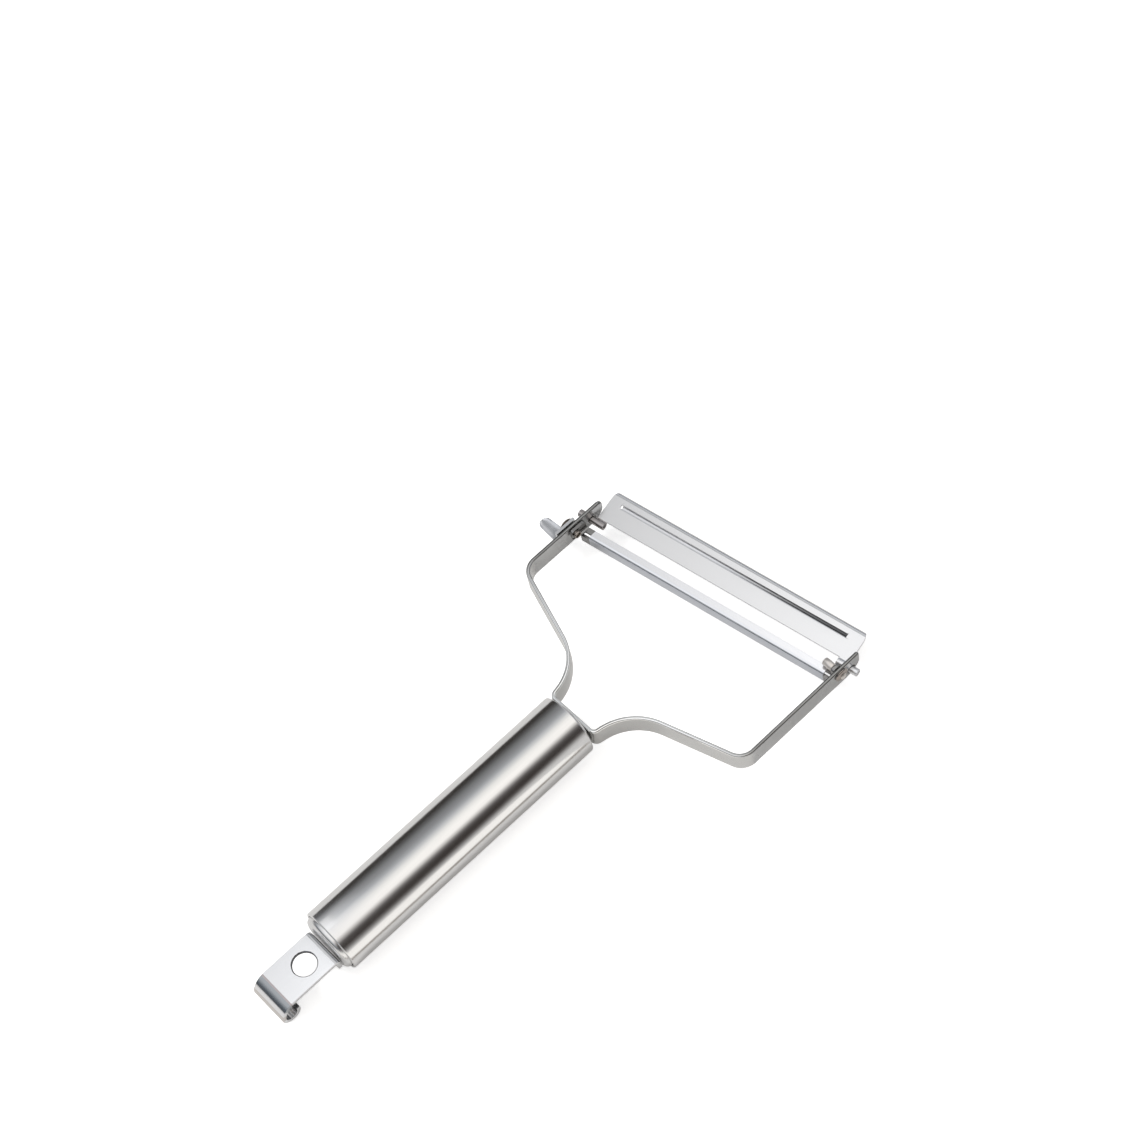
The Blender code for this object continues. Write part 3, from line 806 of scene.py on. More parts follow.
@dataclass
class Yoke(Piece):
    """The wide strip yoke, with unequal arms, and the lines that other pieces take from it.

    Its neck, shoulder and corner are bends of the left half in plan: how far ahead of the base
    and to the left they are, and their radius.
    """

    thickness: float = 1.2
    height: float = 7.4
    base_x: float = 1.7
    neck: tuple[float, float, float] = (0.0, 8.3, 1.7)
    shoulder: tuple[float, float, float] = (11.8, 10.3, 16.0)
    corner: tuple[float, float, float] = (22.2, 43.4, 5.0)
    left_reach: float = 52.1
    right_reach: float = 66.2
    left_tip_radii: tuple[float, float] = (1.9, 5.2)
    right_tip_radii: tuple[float, float] = (0.9, 5.2)
    tip_steps: int = 9
    tip_start: float = 8.0
    crown: float = 0.6
    crown_room: float = 2.2
    crown_steps: int = 12
    left_inset: float = 4.85
    right_inset: float = 3.65
    left_rivet_setback: float = 6.85
    right_rivet_setback: float = 3.8
    rivet_height: float = 1.6
    axis_height: float = -1.0
    swivel_hole: float = 1.55
    rivet_hole: float = 0.85
    swivel_cut_past: float = 20.0
    rivet_cut_past: float = 4.0
    bend_step: float = 4.0
    edge: float = 0.09
    edge_angle: float = 55.0
    edge_light_slope: float = 0.25
    arm_shade_start: float = 27.0
    arm_shade_slope: float = 0.96

    @property
    def span(self) -> float:
        """Half the distance between the arms' middle planes."""
        return self.corner[1]

    @property
    def inner(self) -> float:
        """Where an arm's inner face is."""
        return self.span - self.thickness / 2

    @property
    def outer(self) -> float:
        """Where an arm's outer face is."""
        return self.span + self.thickness / 2

    def tip_x(self, side: Side) -> float:
        """Where an arm ends."""
        return self.base_x + (self.left_reach if side is Side.LEFT else self.right_reach)

    def swivel_x(self, side: Side) -> float:
        """Where the swivel axis crosses an arm."""
        return self.tip_x(side) - (self.left_inset if side is Side.LEFT else self.right_inset)

    def rivet_x(self, side: Side) -> float:
        """Where an arm's rivet is."""
        back = self.left_rivet_setback if side is Side.LEFT else self.right_rivet_setback
        return self.swivel_x(side) - back

    @property
    def slant(self) -> float:
        """The angle of the swivel axis from Y, in radians."""
        return math.atan2(self.swivel_x(Side.RIGHT) - self.swivel_x(Side.LEFT), 2 * self.span)

    def slanted(self) -> Matrix:
        """Placing of what lies along the swivel axis: X ahead of it and Y along it."""
        middle = (self.swivel_x(Side.LEFT) + self.swivel_x(Side.RIGHT)) / 2
        return Matrix.Translation((middle, 0, self.axis_height)) @ Matrix.Rotation(
            self.slant, 4, "Z")

    def _plan(self) -> list[Vector]:
        """The strip's middle line in plan, from the left tip to the right one."""
        bends = (self.corner, self.shoulder, self.neck)
        left = [(self.base_x + x, y, bend) for x, y, bend in bends]
        right = [(x, -y, bend) for x, y, bend in reversed(left)]
        ends = ((self.tip_x(Side.LEFT), self.span, 0.0), (self.tip_x(Side.RIGHT), -self.span, 0.0))
        return bent_path([ends[0], *left, *right, ends[1]], self.bend_step)

    def _tip(self, tip: Vector, inward: Vector,
             radii: tuple[float, float]) -> list[tuple[Vector, float, float, float]]:
        """Stations along an arm's rounded tip.

        Args:
            tip: The tip in plan.
            inward: The direction into the arm.
            radii: The radii of the tip's upper and lower corners.

        Returns:
            Each station's point, lower and upper height and half thickness, from the tip.
        """
        def inset(radius: float, place: float) -> float:
            """How far an edge with this radius has still to go, this far from the tip."""
            left = max(0.0, radius - place)
            return radius - math.sqrt(radius ** 2 - left ** 2)

        turns = [math.radians(self.tip_start + (90 - self.tip_start) * index / self.tip_steps)
                 for index in range(self.tip_steps + 1)]
        places = sorted({radius * (1 - math.cos(a)) for radius in (*radii, self.crown)
                         for a in turns})
        half, thin = self.height / 2, self.thickness / 2
        return [
            (tip + inward * place, -half + inset(radii[1], place), half - inset(radii[0], place),
             thin * (1 - inset(self.crown, place) / self.crown))
            for place in places
        ]

    def _ring(self, point: Vector, out: Vector, low: float, high: float,
              half: float) -> list[Vector]:
        """The strip's section at a station, with crowned upper and lower edges.

        Args:
            point: The station in plan.
            out: The direction across the strip.
            low: The section's lowest height.
            high: Its highest one.
            half: Half its thickness.

        Returns:
            The section's points.
        """
        crown = min(self.crown, (high - low) / self.crown_room)
        ring = []
        for base, turn in ((high - crown, 0.0), (low + crown, math.pi)):
            for index in range(self.crown_steps + 1):
                a = turn + math.pi * index / self.crown_steps
                across = point + out * half * math.cos(a)
                ring.append(Vector((across.x, across.y, base + crown * math.sin(a))))
        return ring

    def build(self) -> None:
        """Bend the strip, drill it and round its edges."""
        line = self._plan()
        half, thin = self.height / 2, self.thickness / 2
        left = self._tip(line[0], (line[1] - line[0]).normalized(), self.left_tip_radii)
        right = self._tip(line[-1], (line[-2] - line[-1]).normalized(), self.right_tip_radii)
        stations = [*left, *((point, -half, half, thin) for point in line[1:-1]),
                    *reversed(right)]
        points = [station[0] for station in stations]
        rings = []
        for index, station in enumerate(stations):
            ahead = points[min(index + 1, len(points) - 1)] - points[max(index - 1, 0)]
            out = Vector((-ahead.y, ahead.x)).normalized()
            rings.append(self._ring(station[0], out, *station[1:]))
        strip = swept_object("yoke_visual", rings)
        round_edges(strip, self.edge, self.edge_angle)
        cut_hole(strip, self.swivel_hole, 2 * self.outer + self.swivel_cut_past,
                 self.slanted() @ Matrix.Rotation(math.pi / 2, 4, "X"))
        for side in Side:
            place = (self.rivet_x(side), side.value * self.span, self.rivet_height)
            cut_hole(strip, self.rivet_hole, self.thickness + self.rivet_cut_past,
                     turn_z_to_y(place))
        self.dress(strip, "yoke", STRIP_STEEL)
        # The strip's upper and lower edges get a lighter copy of the steel that darkens along the
        # arms, painted highlight and shade.
        self.patch(strip, EDGE_LIGHT_SHADE_STEEL, lambda face: abs(face.normal.z) > self.edge_light_slope)
        # The arms' faces that face right get the darker copy, a painted shade.
        self.patch(strip, ARM_SHADE_STEEL, lambda face: face.normal.y < -self.arm_shade_slope
                   and middle_of(face).x > self.arm_shade_start)


@dataclass
class Blade(Piece):
    """The slotted plate with its rolled lip, ramp and rolled tongues."""

    yoke: Yoke
    thickness: float = 0.7
    tilt: float = 8.3
    near_edge: float = 1.35
    grind_start: float = 6.5
    grind_drop: float = 0.2
    cutting_edge: float = 6.8
    slot_width: float = 1.5
    slot_margins: tuple[float, float] = (3.8, 4.8)
    lip_start: float = 9.55
    lip_radius: float = 1.2
    lip_drop: float = 0.7
    lip_steps: int = 10
    corner_radius: float = 3.8
    end_gap: float = 0.35
    ramp_drop: float = 1.2
    ramp_step: float = 0.30
    ramp_rise: float = 0.70
    ramp_foot: float = 7.0
    ramp_end_gap: float = 0.3
    step_setback: float = 0.12
    step_lean: float = 0.1
    tongue_radius: float = 1.15
    tongue_turn: float = 330.0
    tongue_steps: int = 22
    tongue_root: float = 3.2
    tongue_reaches: tuple[float, float] = (3.0, 2.2)
    edge: float = 0.10
    body: Body = field(default=Body.BLADE, init=False)

    def reaches(self) -> tuple[float, float]:
        """How far the plate reaches to the left and right along the axis inside the arms."""
        slant = self.yoke.slant
        meeting = min(self.lip_start, self.yoke.left_inset / math.cos(slant))
        room = self.yoke.inner - self.end_gap
        return ((room - meeting * math.sin(slant)) / math.cos(slant),
                (room + self.near_edge * math.sin(slant)) / math.cos(slant))

    def _section(self) -> tuple[list[Vector], dict[str, int]]:
        """The sheet's middle line ahead of and above the axis.

        Returns:
            The points from the tongue's free edge to the lip's lower edge, and the places of
            the near edge, the cutting edge and the slot's far edge among them.
        """
        curl = self.tongue_radius - self.thickness / 2
        turn = math.radians(self.tongue_turn)
        roll = arc(Vector((0.0, 0.0)), curl, turn, -turn, self.tongue_steps)
        roll[-1] = Vector((curl, 0.0))
        points = [*roll, Vector((self.near_edge, 0.0))]
        marks = {"near": len(points) - 1}
        points += [Vector((self.grind_start, 0.0)),
                   Vector((self.cutting_edge, -self.grind_drop))]
        marks["cutting"] = len(points) - 1
        points.append(Vector((self.cutting_edge + self.slot_width, 0.0)))
        marks["far"] = len(points) - 1
        lip = arc(Vector((self.lip_start, -self.lip_radius)), self.lip_radius,
                  math.pi / 2, -math.pi / 2, self.lip_steps)
        points += [*lip, lip[-1] - Vector((0.0, self.lip_drop))]
        return points, marks

    def _insets(self, section: Sequence[Vector]) -> list[float]:
        """How far each point of the section stops short, where the far corners are rounded.

        Args:
            section: The sheet's middle line.

        Returns:
            An inset for each point.
        """
        runs = [(b - a).length for a, b in zip(section, section[1:])]
        insets = []
        for index in range(len(section)):
            across = max(0.0, self.corner_radius - sum(runs[index:]))
            insets.append(self.corner_radius - math.sqrt(self.corner_radius ** 2 - across ** 2))
        return insets

    def build(self) -> None:
        """Bend the plate with its slot, tongues, lip and ramp in one sheet."""
        section, marks = self._section()
        insets = self._insets(section)
        ends = self.reaches()
        tips = [(self.yoke.outer + reach) / math.cos(self.yoke.slant)
                for reach in self.tongue_reaches]
        roots = [end - self.tongue_root for end in ends]
        slots = [end - margin for end, margin in zip(ends, self.slot_margins)]
        ramps = [slot - self.ramp_end_gap for slot in slots]
        middle = [ramps[1] * share for share in (-0.5, 0.0, 0.5)]
        stations = [*(-s for s in (tips[1], ends[1], roots[1], slots[1], ramps[1])), *middle,
                    ramps[0], slots[0], roots[0], ends[0], tips[0]]

        def beyond(s: float, limits: Sequence[float]) -> bool:
            """Whether a station lies at or outside these left and right limits."""
            return s >= limits[0] - TINY or s <= TINY - limits[1]

        def spot(i: int, point: Vector, s: float) -> Vector:
            """Where a station is on a row.

            Args:
                i: The row.
                point: The section's point there.
                s: The station.

            Returns:
                Its place, kept within the rounded corners, and level outside the slot.
            """
            along, height = s, point.y
            if i >= marks["near"] and beyond(s, ends):
                along = max(insets[i] - ends[1], min(ends[0] - insets[i], s))
            if i == marks["cutting"] and beyond(s, slots):
                height = 0.0
            return Vector((point.x, along, height))

        rows = [[spot(i, point, s) for s in stations] for i, point in enumerate(section)]

        def filled(i: int, j: int) -> bool:
            """Whether a cell is sheet: tongue, plate or the plate outside its slot.

            Args:
                i: The cell's row.
                j: Its column.

            Returns:
                Whether it has a face.
            """
            low, high = stations[j], stations[j + 1]
            outside = beyond(low, ends) and beyond(high, ends)
            if i < marks["near"]:
                rolled = beyond(low, roots) and beyond(high, roots)
                return rolled and not (outside and i == marks["near"] - 1)
            in_slot = i == marks["cutting"] and not (beyond(low, slots) and beyond(high, slots))
            return not outside and not in_slot

        far = self.cutting_edge + self.slot_width
        steps = [self.ramp_step + self.ramp_rise * min(1.0, max(0.0, 1.0 + s / slots[1]))
                 for s in stations]
        step = [Vector((far - self.step_setback - self.step_lean * drop, s, -drop))
                for s, drop in zip(stations, steps)]
        foot = [Vector((self.ramp_foot, s, -self.ramp_drop)) for s in stations]
        flap = Flap([step, foot], marks["far"], [-ramps[1] - TINY <= s <= ramps[0] + TINY
                                                 for s in stations])
        tilted = self.yoke.slanted() @ Matrix.Rotation(-math.radians(self.tilt), 4, "Y")
        plate = grid_object("blade_plate_visual", rows, filled, tilted, flap)
        thicken(plate, self.thickness, self.edge)
        self.dress(plate, "blade_plate", BLADE_STEEL)
        into = (Matrix.Translation(DATUM) @ Matrix.Scale(MM, 4) @ tilted).inverted()
        slack = 0.1

        def on_shaded_ramp(face: bpy.types.MeshPolygon) -> bool:
            """Whether a face is on the ramp under the slot, which gets the painted shade."""
            place = into @ face.center
            return place.z < -slack and self.cutting_edge - slack < place.x < far - slack / 2

        # The ramp under the slot gets a copy of the blade steel that darkens towards the right
        # end, a painted shade.
        self.patch(plate, SLOT_SHADE_STEEL, on_shaded_ramp)
        # The left rolled tongue gets the darker copy, a painted shade.
        self.patch(plate, TONGUE_SHADE_STEEL, lambda face: (into @ face.center).y > roots[0]
                   and (into @ face.center).x < self.tongue_radius)


@dataclass
class GuardBar(Piece):
    """The bar behind the blade, an L of sheet whose flange turns up into an ear at each end."""

    yoke: Yoke
    thickness: float = 0.9
    setback: float = 3.0
    flange_depth: float = 2.9
    top: float = 0.2
    web_height: float = 4.1
    bend: float = 0.8
    arm_gap: float = 0.3
    reliefs: tuple[float, float] = (38.6, 39.7)
    web_end: float = 41.5
    ear_bend: float = 1.3
    ear_steps: int = 8
    ear_margin: float = 1.5
    ear_corner: float = 1.1
    ear_drops: tuple[float, ...] = (1.0, 0.6, 0.25, 0.0)
    ear_widening: int = 3
    ear_rounding: float = 0.8
    bend_step: float = 10.0
    edge: float = 0.12
    cut_past: float = 2.0
    web_shade_slope: float = 0.6
    ear_shade_start: float = 0.1

    def ear_y(self, side: Side) -> float:
        """The middle plane of an ear."""
        return side.value * (self.yoke.inner - self.arm_gap - self.thickness / 2)

    def _ear_line(self) -> list[Vector]:
        """The middle line of the flange's turned-up end.

        Returns:
            Points as (distance from the middle, height), from the flange to the ear's tip.
        """
        level = self.top - self.thickness / 2
        out = self.ear_y(Side.LEFT)
        tip = self.yoke.rivet_height + self.ear_margin
        turn = arc(Vector((out - self.ear_bend, level + self.ear_bend)), self.ear_bend,
                   -math.pi / 2, math.pi / 2, self.ear_steps)
        return [*turn, *(Vector((out, tip - drop * self.ear_corner)) for drop in self.ear_drops)]

    def _ear_span(self, side: Side, index: int, rear: float, front: float,
                  height: float) -> tuple[float, float]:
        """Where the flange's turned-up end starts and stops along X.

        Args:
            side: The end's side.
            index: The station's place on the ear's line.
            rear: Where the flange's rear edge would be.
            front: Where its front edge would be.
            height: The station's height.

        Returns:
            The rear and front edges, widened around the rivet and rounded at the tip.
        """
        rivet = self.yoke.rivet_x(side)
        share = min(1.0, index / self.ear_widening)
        rear += share * (min(rear, rivet - self.ear_margin) - rear)
        front += share * (max(front, rivet + self.ear_margin) - front)
        left = self.yoke.rivet_height + self.ear_margin - height
        across = max(0.0, self.ear_corner - left)
        inset = self.ear_corner - math.sqrt(self.ear_corner ** 2 - across ** 2)
        return rear + self.ear_rounding * inset, front - self.ear_rounding * inset

    def build(self) -> None:
        """Bend the bar and its ears in one sheet, slit behind the ears, and drill them."""
        half = self.thickness / 2
        slant = self.yoke.slant
        middle = self.yoke.slanted().translation.x
        web = half - self.setback - self.flange_depth
        level = self.top - half

        def x_at(ahead: float, y: float) -> float:
            """Where the line this far ahead of the swivel axis is at this y."""
            return middle + ahead / math.cos(slant) - y * math.tan(slant)

        ear = self._ear_line()
        left, right = self.reliefs
        flat = [Vector((y, level)) for y in (-right, -right / 2, 0.0, left / 2, left)]
        line = [*(Vector((-p.x, p.y)) for p in reversed(ear)), *flat, *ear]
        first, last = len(ear) - 1, len(ear) + len(flat)
        section = bent_path([(web, self.top - self.web_height, 0), (web, level, self.bend),
                             (-self.setback, level, 0)], self.bend_step)
        turn_up = len(section) - 2

        rows = []
        for ahead, height in section[:turn_up]:
            row = []
            for index, point in enumerate(line):
                y = math.copysign(self.web_end, point.x) if index in (first, last) else point.x
                row.append(Vector((x_at(ahead, y), y, height)))
            rows.append(row)
        for share in (0.0, 0.25, 0.5, 0.75, 1.0):
            row = []
            for index, point in enumerate(line):
                rear = x_at(web + self.bend, point.x)
                front = x_at(-self.setback, point.x)
                if index <= first:
                    rear, front = self._ear_span(Side.RIGHT, first - index, rear, front, point.y)
                elif index >= last:
                    rear, front = self._ear_span(Side.LEFT, index - last, rear, front, point.y)
                row.append(Vector((rear + (front - rear) * share, *point)))
            rows.append(row)

        def filled(i: int, j: int) -> bool:
            """Whether a cell is sheet: the web, the bend between its slits or the flange.

            Args:
                i: The cell's row.
                j: Its column.

            Returns:
                Whether it has a face.
            """
            if i == 0:
                return first <= j < last
            return i >= turn_up or first < j < last - 1

        bar = grid_object("guard_bar_visual", rows, filled)
        thicken(bar, self.thickness, self.edge)
        for side in Side:
            place = (self.yoke.rivet_x(side), self.ear_y(side), self.yoke.rivet_height)
            cut_hole(bar, self.yoke.rivet_hole, self.thickness + self.cut_past,
                     turn_z_to_y(place))
        self.dress(bar, "guard_bar", BAR_STEEL)
        ends = -right - self.ear_shade_start, left + self.ear_shade_start
        # The upright web gets the darker copy, a painted shade.
        self.patch(bar, WEB_SHADE_STEEL, lambda face: abs(face.normal.z) < self.web_shade_slope)
        # The ends beyond the slits, with the ears, get the dark copy, a painted shade.
        self.patch(bar, EAR_SHADE_STEEL, lambda face: not ends[0] < middle_of(face).y < ends[1])


@dataclass
class Rivets(Piece):
    """A domed rivet and its collar at each arm.

    The dome's points are shares of the head's radius and height, from the middle outward, and
    the nub in its middle is a share of its radius.
    """

    yoke: Yoke
    bar: GuardBar
    shank: float = 0.65
    shank_edge: float = 0.1
    shank_past: float = 0.4
    head_radius: float = 2.2
    head_height: float = 1.2
    head_edge: float = 0.06
    dome: tuple[tuple[float, float], ...] = (
        (0.0, 1.0), (0.15, 0.975), (0.28, 0.89), (0.38, 0.76), (0.45, 0.60), (0.49, 0.46),
        (0.55, 0.40), (0.68, 0.40), (0.80, 0.38), (0.90, 0.31), (0.96, 0.21), (0.99, 0.11))
    nub: float = 0.44
    collar_radius: float = 1.2
    collar_lengths: tuple[float, float] = (0.8, 3.3)
    collar_edge: float = 0.12
    gap: float = 0.3
    hole_gap: float = 0.2
    eye_thickness: float = 0.9
    facets: int = 48

    def build(self) -> None:
        """Turn both rivets and both collars."""
        for side, length in zip(Side, self.collar_lengths):
            self._rivet(side, length)
            self._collar(side, length)

    @staticmethod
    def _steel(side: Side) -> Steel:
        """The finish of a side's rivet and collar: the left ones are darker, a painted shade."""
        return LEFT_RIVET_SHADE_STEEL if side is Side.LEFT else RIVET_STEEL

    def _collar_start(self) -> float:
        """How far out a collar's outer end is."""
        return self.yoke.inner - self.bar.arm_gap - self.bar.thickness - self.gap

    def _rivet(self, side: Side, collar_length: float) -> None:
        """Turn one rivet.

        Args:
            side: The arm that it goes through.
            collar_length: How long the collar at its inner end is.
        """
        seat = self.yoke.outer + self.gap
        if side is Side.LEFT:
            seat += self.gap + self.eye_thickness
        end = self._collar_start() - collar_length + self.shank_past - seat
        profile = [
            *((self.head_radius * share, self.head_height * height)
              for share, height in self.dome),
            (self.head_radius, self.head_edge), (self.head_radius - self.head_edge, 0.0),
            (self.shank, 0.0), (self.shank, end + self.shank_edge),
            (self.shank - self.shank_edge, end), (0.0, end),
        ]
        place = (self.yoke.rivet_x(side), side.value * seat, self.yoke.rivet_height)
        rivet = turned_object(f"{side.word}_rivet_visual", profile, turn_z_to_y(place, side),
                              self.facets)
        self.dress(rivet, f"{side.word}_rivet", self._steel(side))

        def on_shaded_rim(face: bpy.types.MeshPolygon) -> bool:
            """Whether a face is on the head's rim, which gets a painted shade.

            Args:
                face: A face of the rivet.

            Returns:
                Whether it is on the head, outside the nub in its middle.
            """
            spot = middle_of(face)
            away = math.hypot(spot.x - place[0], spot.z - place[2])
            return abs(spot.y) > seat and away > self.nub * self.head_radius

        # The right rivet's head gets a dark ring round its nub, a painted shade.
        if side is Side.RIGHT:
            self.patch(rivet, RIM_SHADE_STEEL, on_shaded_rim)

    def _collar(self, side: Side, length: float) -> None:
        """Turn one collar.

        Args:
            side: The arm that it is inside.
            length: How long it is.
        """
        bore = self.shank + self.hole_gap
        rim, edge = self.collar_radius, self.collar_edge
        profile = [
            (bore, -edge), (bore + edge, 0.0), (rim - edge, 0.0), (rim, -edge),
            (rim, edge - length), (rim - edge, -length), (bore + edge, -length),
            (bore, edge - length),
        ]
        place = (self.yoke.rivet_x(side), side.value * self._collar_start(),
                 self.yoke.rivet_height)
        collar = turned_object(f"{side.word}_collar_visual", profile, turn_z_to_y(place, side),
                               self.facets)
        self.dress(collar, f"{side.word}_collar", self._steel(side))


@dataclass
class EyeRemover(Piece):
    """The plate outside the left arm, bent out into a round-tipped, slightly dished tab.

    Round the tip the sheet thins to the share tip_edge over the last tip_thinning degrees, and
    tip_least keeps it a hair above that at the very end.
    """

    yoke: Yoke
    thickness: float = 0.9
    gap: float = 0.3
    base_top: float = 3.4
    base_margin: float = 2.4
    tab_height: float = -2.6
    tab_width: float = 4.6
    tip_width: float = 3.8
    tab_length: float = 10.3
    tab_setback: float = 2.4
    bend: float = 0.9
    bend_step: float = 10.0
    dish: float = 0.35
    dish_rate: float = 3.0
    section_steps: int = 8
    softness: float = 0.2
    side_share: float = 0.4
    tip_angles: tuple[int, ...] = (10, 20, 30, 40, 50, 60, 68, 75, 81, 85)
    tip_edge: float = 0.35
    tip_thinning: float = 25.0
    tip_least: float = 1e-9
    edge: float = 0.08
    edge_angle: float = 60.0
    cut_past: float = 2.0

    def _ring(self, point: Vector, normal: Vector, span: tuple[float, float],
              deep: float, half: float) -> list[Vector]:
        """The sheet's section at a station, with rounded sides.

        Args:
            point: The station's (y, z) place.
            normal: The sheet's normal there, in the same plane.
            span: The section's rear and front edge.
            deep: How much of the dish the section has, from 0 to 1.
            half: Half its thickness.

        Returns:
            The section's points.
        """
        rear, front = span
        soft = min(self.softness, self.side_share * (front - rear))
        shares = [index / self.section_steps for index in range(self.section_steps + 1)]
        low, high = rear + soft, front - soft

        def place(x: float, up: float) -> Vector:
            """A point of the section.

            Args:
                x: How far ahead it is.
                up: How far off the sheet's middle it is.

            Returns:
                The point, sunk where the sheet is dished.
            """
            across = min(1.0, max(0.0, (x - rear) / (front - rear)))
            sink = self.dish * deep * (1 - (2 * across - 1) ** 2)
            spot = point + normal * up - Vector((0.0, sink))
            return Vector((x, *spot))

        top = [place(low + (high - low) * share, half) for share in shares]
        bottom = [place(high - (high - low) * share, -half) for share in shares]
        turns = [math.radians(angle) for angle in (60, 30, 0, -30, -60)]
        nose = [place(high + soft * math.cos(a), half * math.sin(a)) for a in turns]
        heel = [place(low - soft * math.cos(a), -half * math.sin(a)) for a in turns]
        return [*top, *nose, *bottom, *heel]

    def build(self) -> None:
        """Bend the plate and its tab, and drill it for the rivet."""
        half = self.thickness / 2
        plate_y = self.yoke.outer + self.gap + half
        radius = self.tip_width / 2
        end_y = self.yoke.outer + self.tab_length - radius
        rivet_x = self.yoke.rivet_x(Side.LEFT)
        middle = rivet_x - self.tab_setback
        root_y = plate_y + self.bend
        line = bent_path([(plate_y, self.base_top, 0), (plate_y, self.tab_height, self.bend),
                          (end_y, self.tab_height, 0)], self.bend_step)
        line[-1:-1] = [line[-2].lerp(line[-1], share) for share in (0.2, 0.4, 0.6, 0.8)]
        stations = []
        for point in line:
            out = max(0.0, (point.x - root_y) / (end_y - root_y))
            side = (self.tab_width + (self.tip_width - self.tab_width) * out) / 2
            bend = min(1.0, (point.x - plate_y) / self.bend)
            front = rivet_x + self.base_margin
            front += bend * (middle + side - front)
            deep = min(1.0, out * self.dish_rate)
            stations.append((point, (middle - side, front), deep, half))
        for angle in self.tip_angles:
            a = math.radians(angle)
            point = Vector((end_y + radius * math.sin(a), self.tab_height))
            side = radius * math.cos(a)
            left = (self.tip_angles[-1] - angle) / self.tip_thinning
            grown = math.sqrt(left + self.tip_least)
            thin = half * min(1.0, self.tip_edge + (1.0 - self.tip_edge) * grown)
            stations.append((point, (middle - side, middle + side), 1.0, thin))
        rings = []
        for index, station in enumerate(stations):
            before = stations[max(index - 1, 0)][0]
            after = stations[min(index + 1, len(stations) - 1)][0]
            along = (after - before).normalized()
            normal = Vector((-along.y, along.x))
            rings.append(self._ring(station[0], normal, *station[1:]))
        tab = swept_object("eye_remover_visual", rings)
        round_edges(tab, self.edge, self.edge_angle)
        cut_hole(tab, self.yoke.rivet_hole, self.thickness + self.cut_past,
                 turn_z_to_y((rivet_x, plate_y, self.yoke.rivet_height)))
        self.dress(tab, "eye_remover", EYE_STEEL)


@dataclass
class HangingTab(Piece):
    """The flange on the tail cap, the flat with its hole, the crease and the curl.

    The slopes are those of the faces that get a band of painted shade, darker or lighter, in
    degrees from level.
    """

    handle: Handle
    thickness: float = 1.2
    width: float = 12.2
    gap: float = 0.3
    flange: float = 3.6
    flange_bend: float = 1.0
    flat: float = 16.1
    hole_radius: float = 3.4
    hole_reach: float = 6.6
    hole_chamfer: float = 0.28
    crease: float = 12.0
    curl_bends: tuple[tuple[float, float], ...] = ((4.9, 73.0), (2.4, 200.0))
    curl_floor: float = -4.6
    crease_slopes: tuple[float, float] = (10.0, 17.0)
    curl_slopes: tuple[float, float] = (17.0, 47.0)
    foot_slopes: tuple[float, float] = (64.0, 90.0)
    bend_step: float = 8.0
    curl_step: float = 6.0
    edge: float = 0.22

    def build(self) -> None:
        """Bend the tab and cut its hole."""
        start = -self.handle.length - self.handle.tail_rise - self.gap - self.thickness / 2
        line = bent_path([(start, -self.flange, 0), (start, 0.0, self.flange_bend),
                          (start - self.flat, 0.0, 0)], self.bend_step)
        turn = math.radians(self.crease)
        for radius, sweep in self.curl_bends:
            centre = line[-1] + radius * Vector((math.sin(turn), -math.cos(turn)))
            line += arc(centre, radius, math.pi / 2 + turn, math.radians(sweep),
                        math.ceil(sweep / self.curl_step))[1:]
            turn += math.radians(sweep)
        half = self.width / 2
        rows = [[Vector((point.x, half * share, point.y)) for point in line]
                for share in (-1, -0.5, 0, 0.5, 1)]
        tab = grid_object("hanging_tab_visual", rows)
        thicken(tab, self.thickness, self.edge)
        cut_hole(tab, self.hole_radius, self.thickness,
                 Matrix.Translation((start - self.hole_reach, 0, 0)), wall=1,
                 chamfer=self.hole_chamfer)
        self.dress(tab, "hanging_tab", TAB_STEEL)
        crease = start - self.flat

        def on_painted_band(face: bpy.types.MeshPolygon, slopes: tuple[float, float]) -> bool:
            """Whether a face is on a band of painted shade on the curl.

            Args:
                face: A face of the tab.
                slopes: The band's least and largest slope.

            Returns:
                Whether it is on the curl's upper part, with a slope between them.
            """
            spot = middle_of(face)
            slope = math.degrees(math.acos(min(1.0, abs(face.normal.z))))
            return spot.x < crease and spot.z > self.curl_floor and slopes[0] < slope < slopes[1]

        # The cutter gives the hole's wall the second finish, a dark painted shade, so no face of
        # the mesh takes it.
        self.patch(tab, HOLE_SHADE_STEEL, lambda face: False)
        # The crease and the curl get bands of darker steel by the slope of their faces, painted
        # shade.
        self.patch(tab, CREASE_SHADE_STEEL, lambda face: on_painted_band(face, self.crease_slopes))
        self.patch(tab, CURL_SHADE_STEEL, lambda face: on_painted_band(face, self.curl_slopes))
        self.patch(tab, CURL_FOOT_SHADE_STEEL, lambda face: on_painted_band(face, self.foot_slopes))


# Studio

BLACK = (0.0, 0.0, 0.0, 1.0)
WHITE = (1.0, 1.0, 1.0, 1.0)
HALF_TURN = 180.0


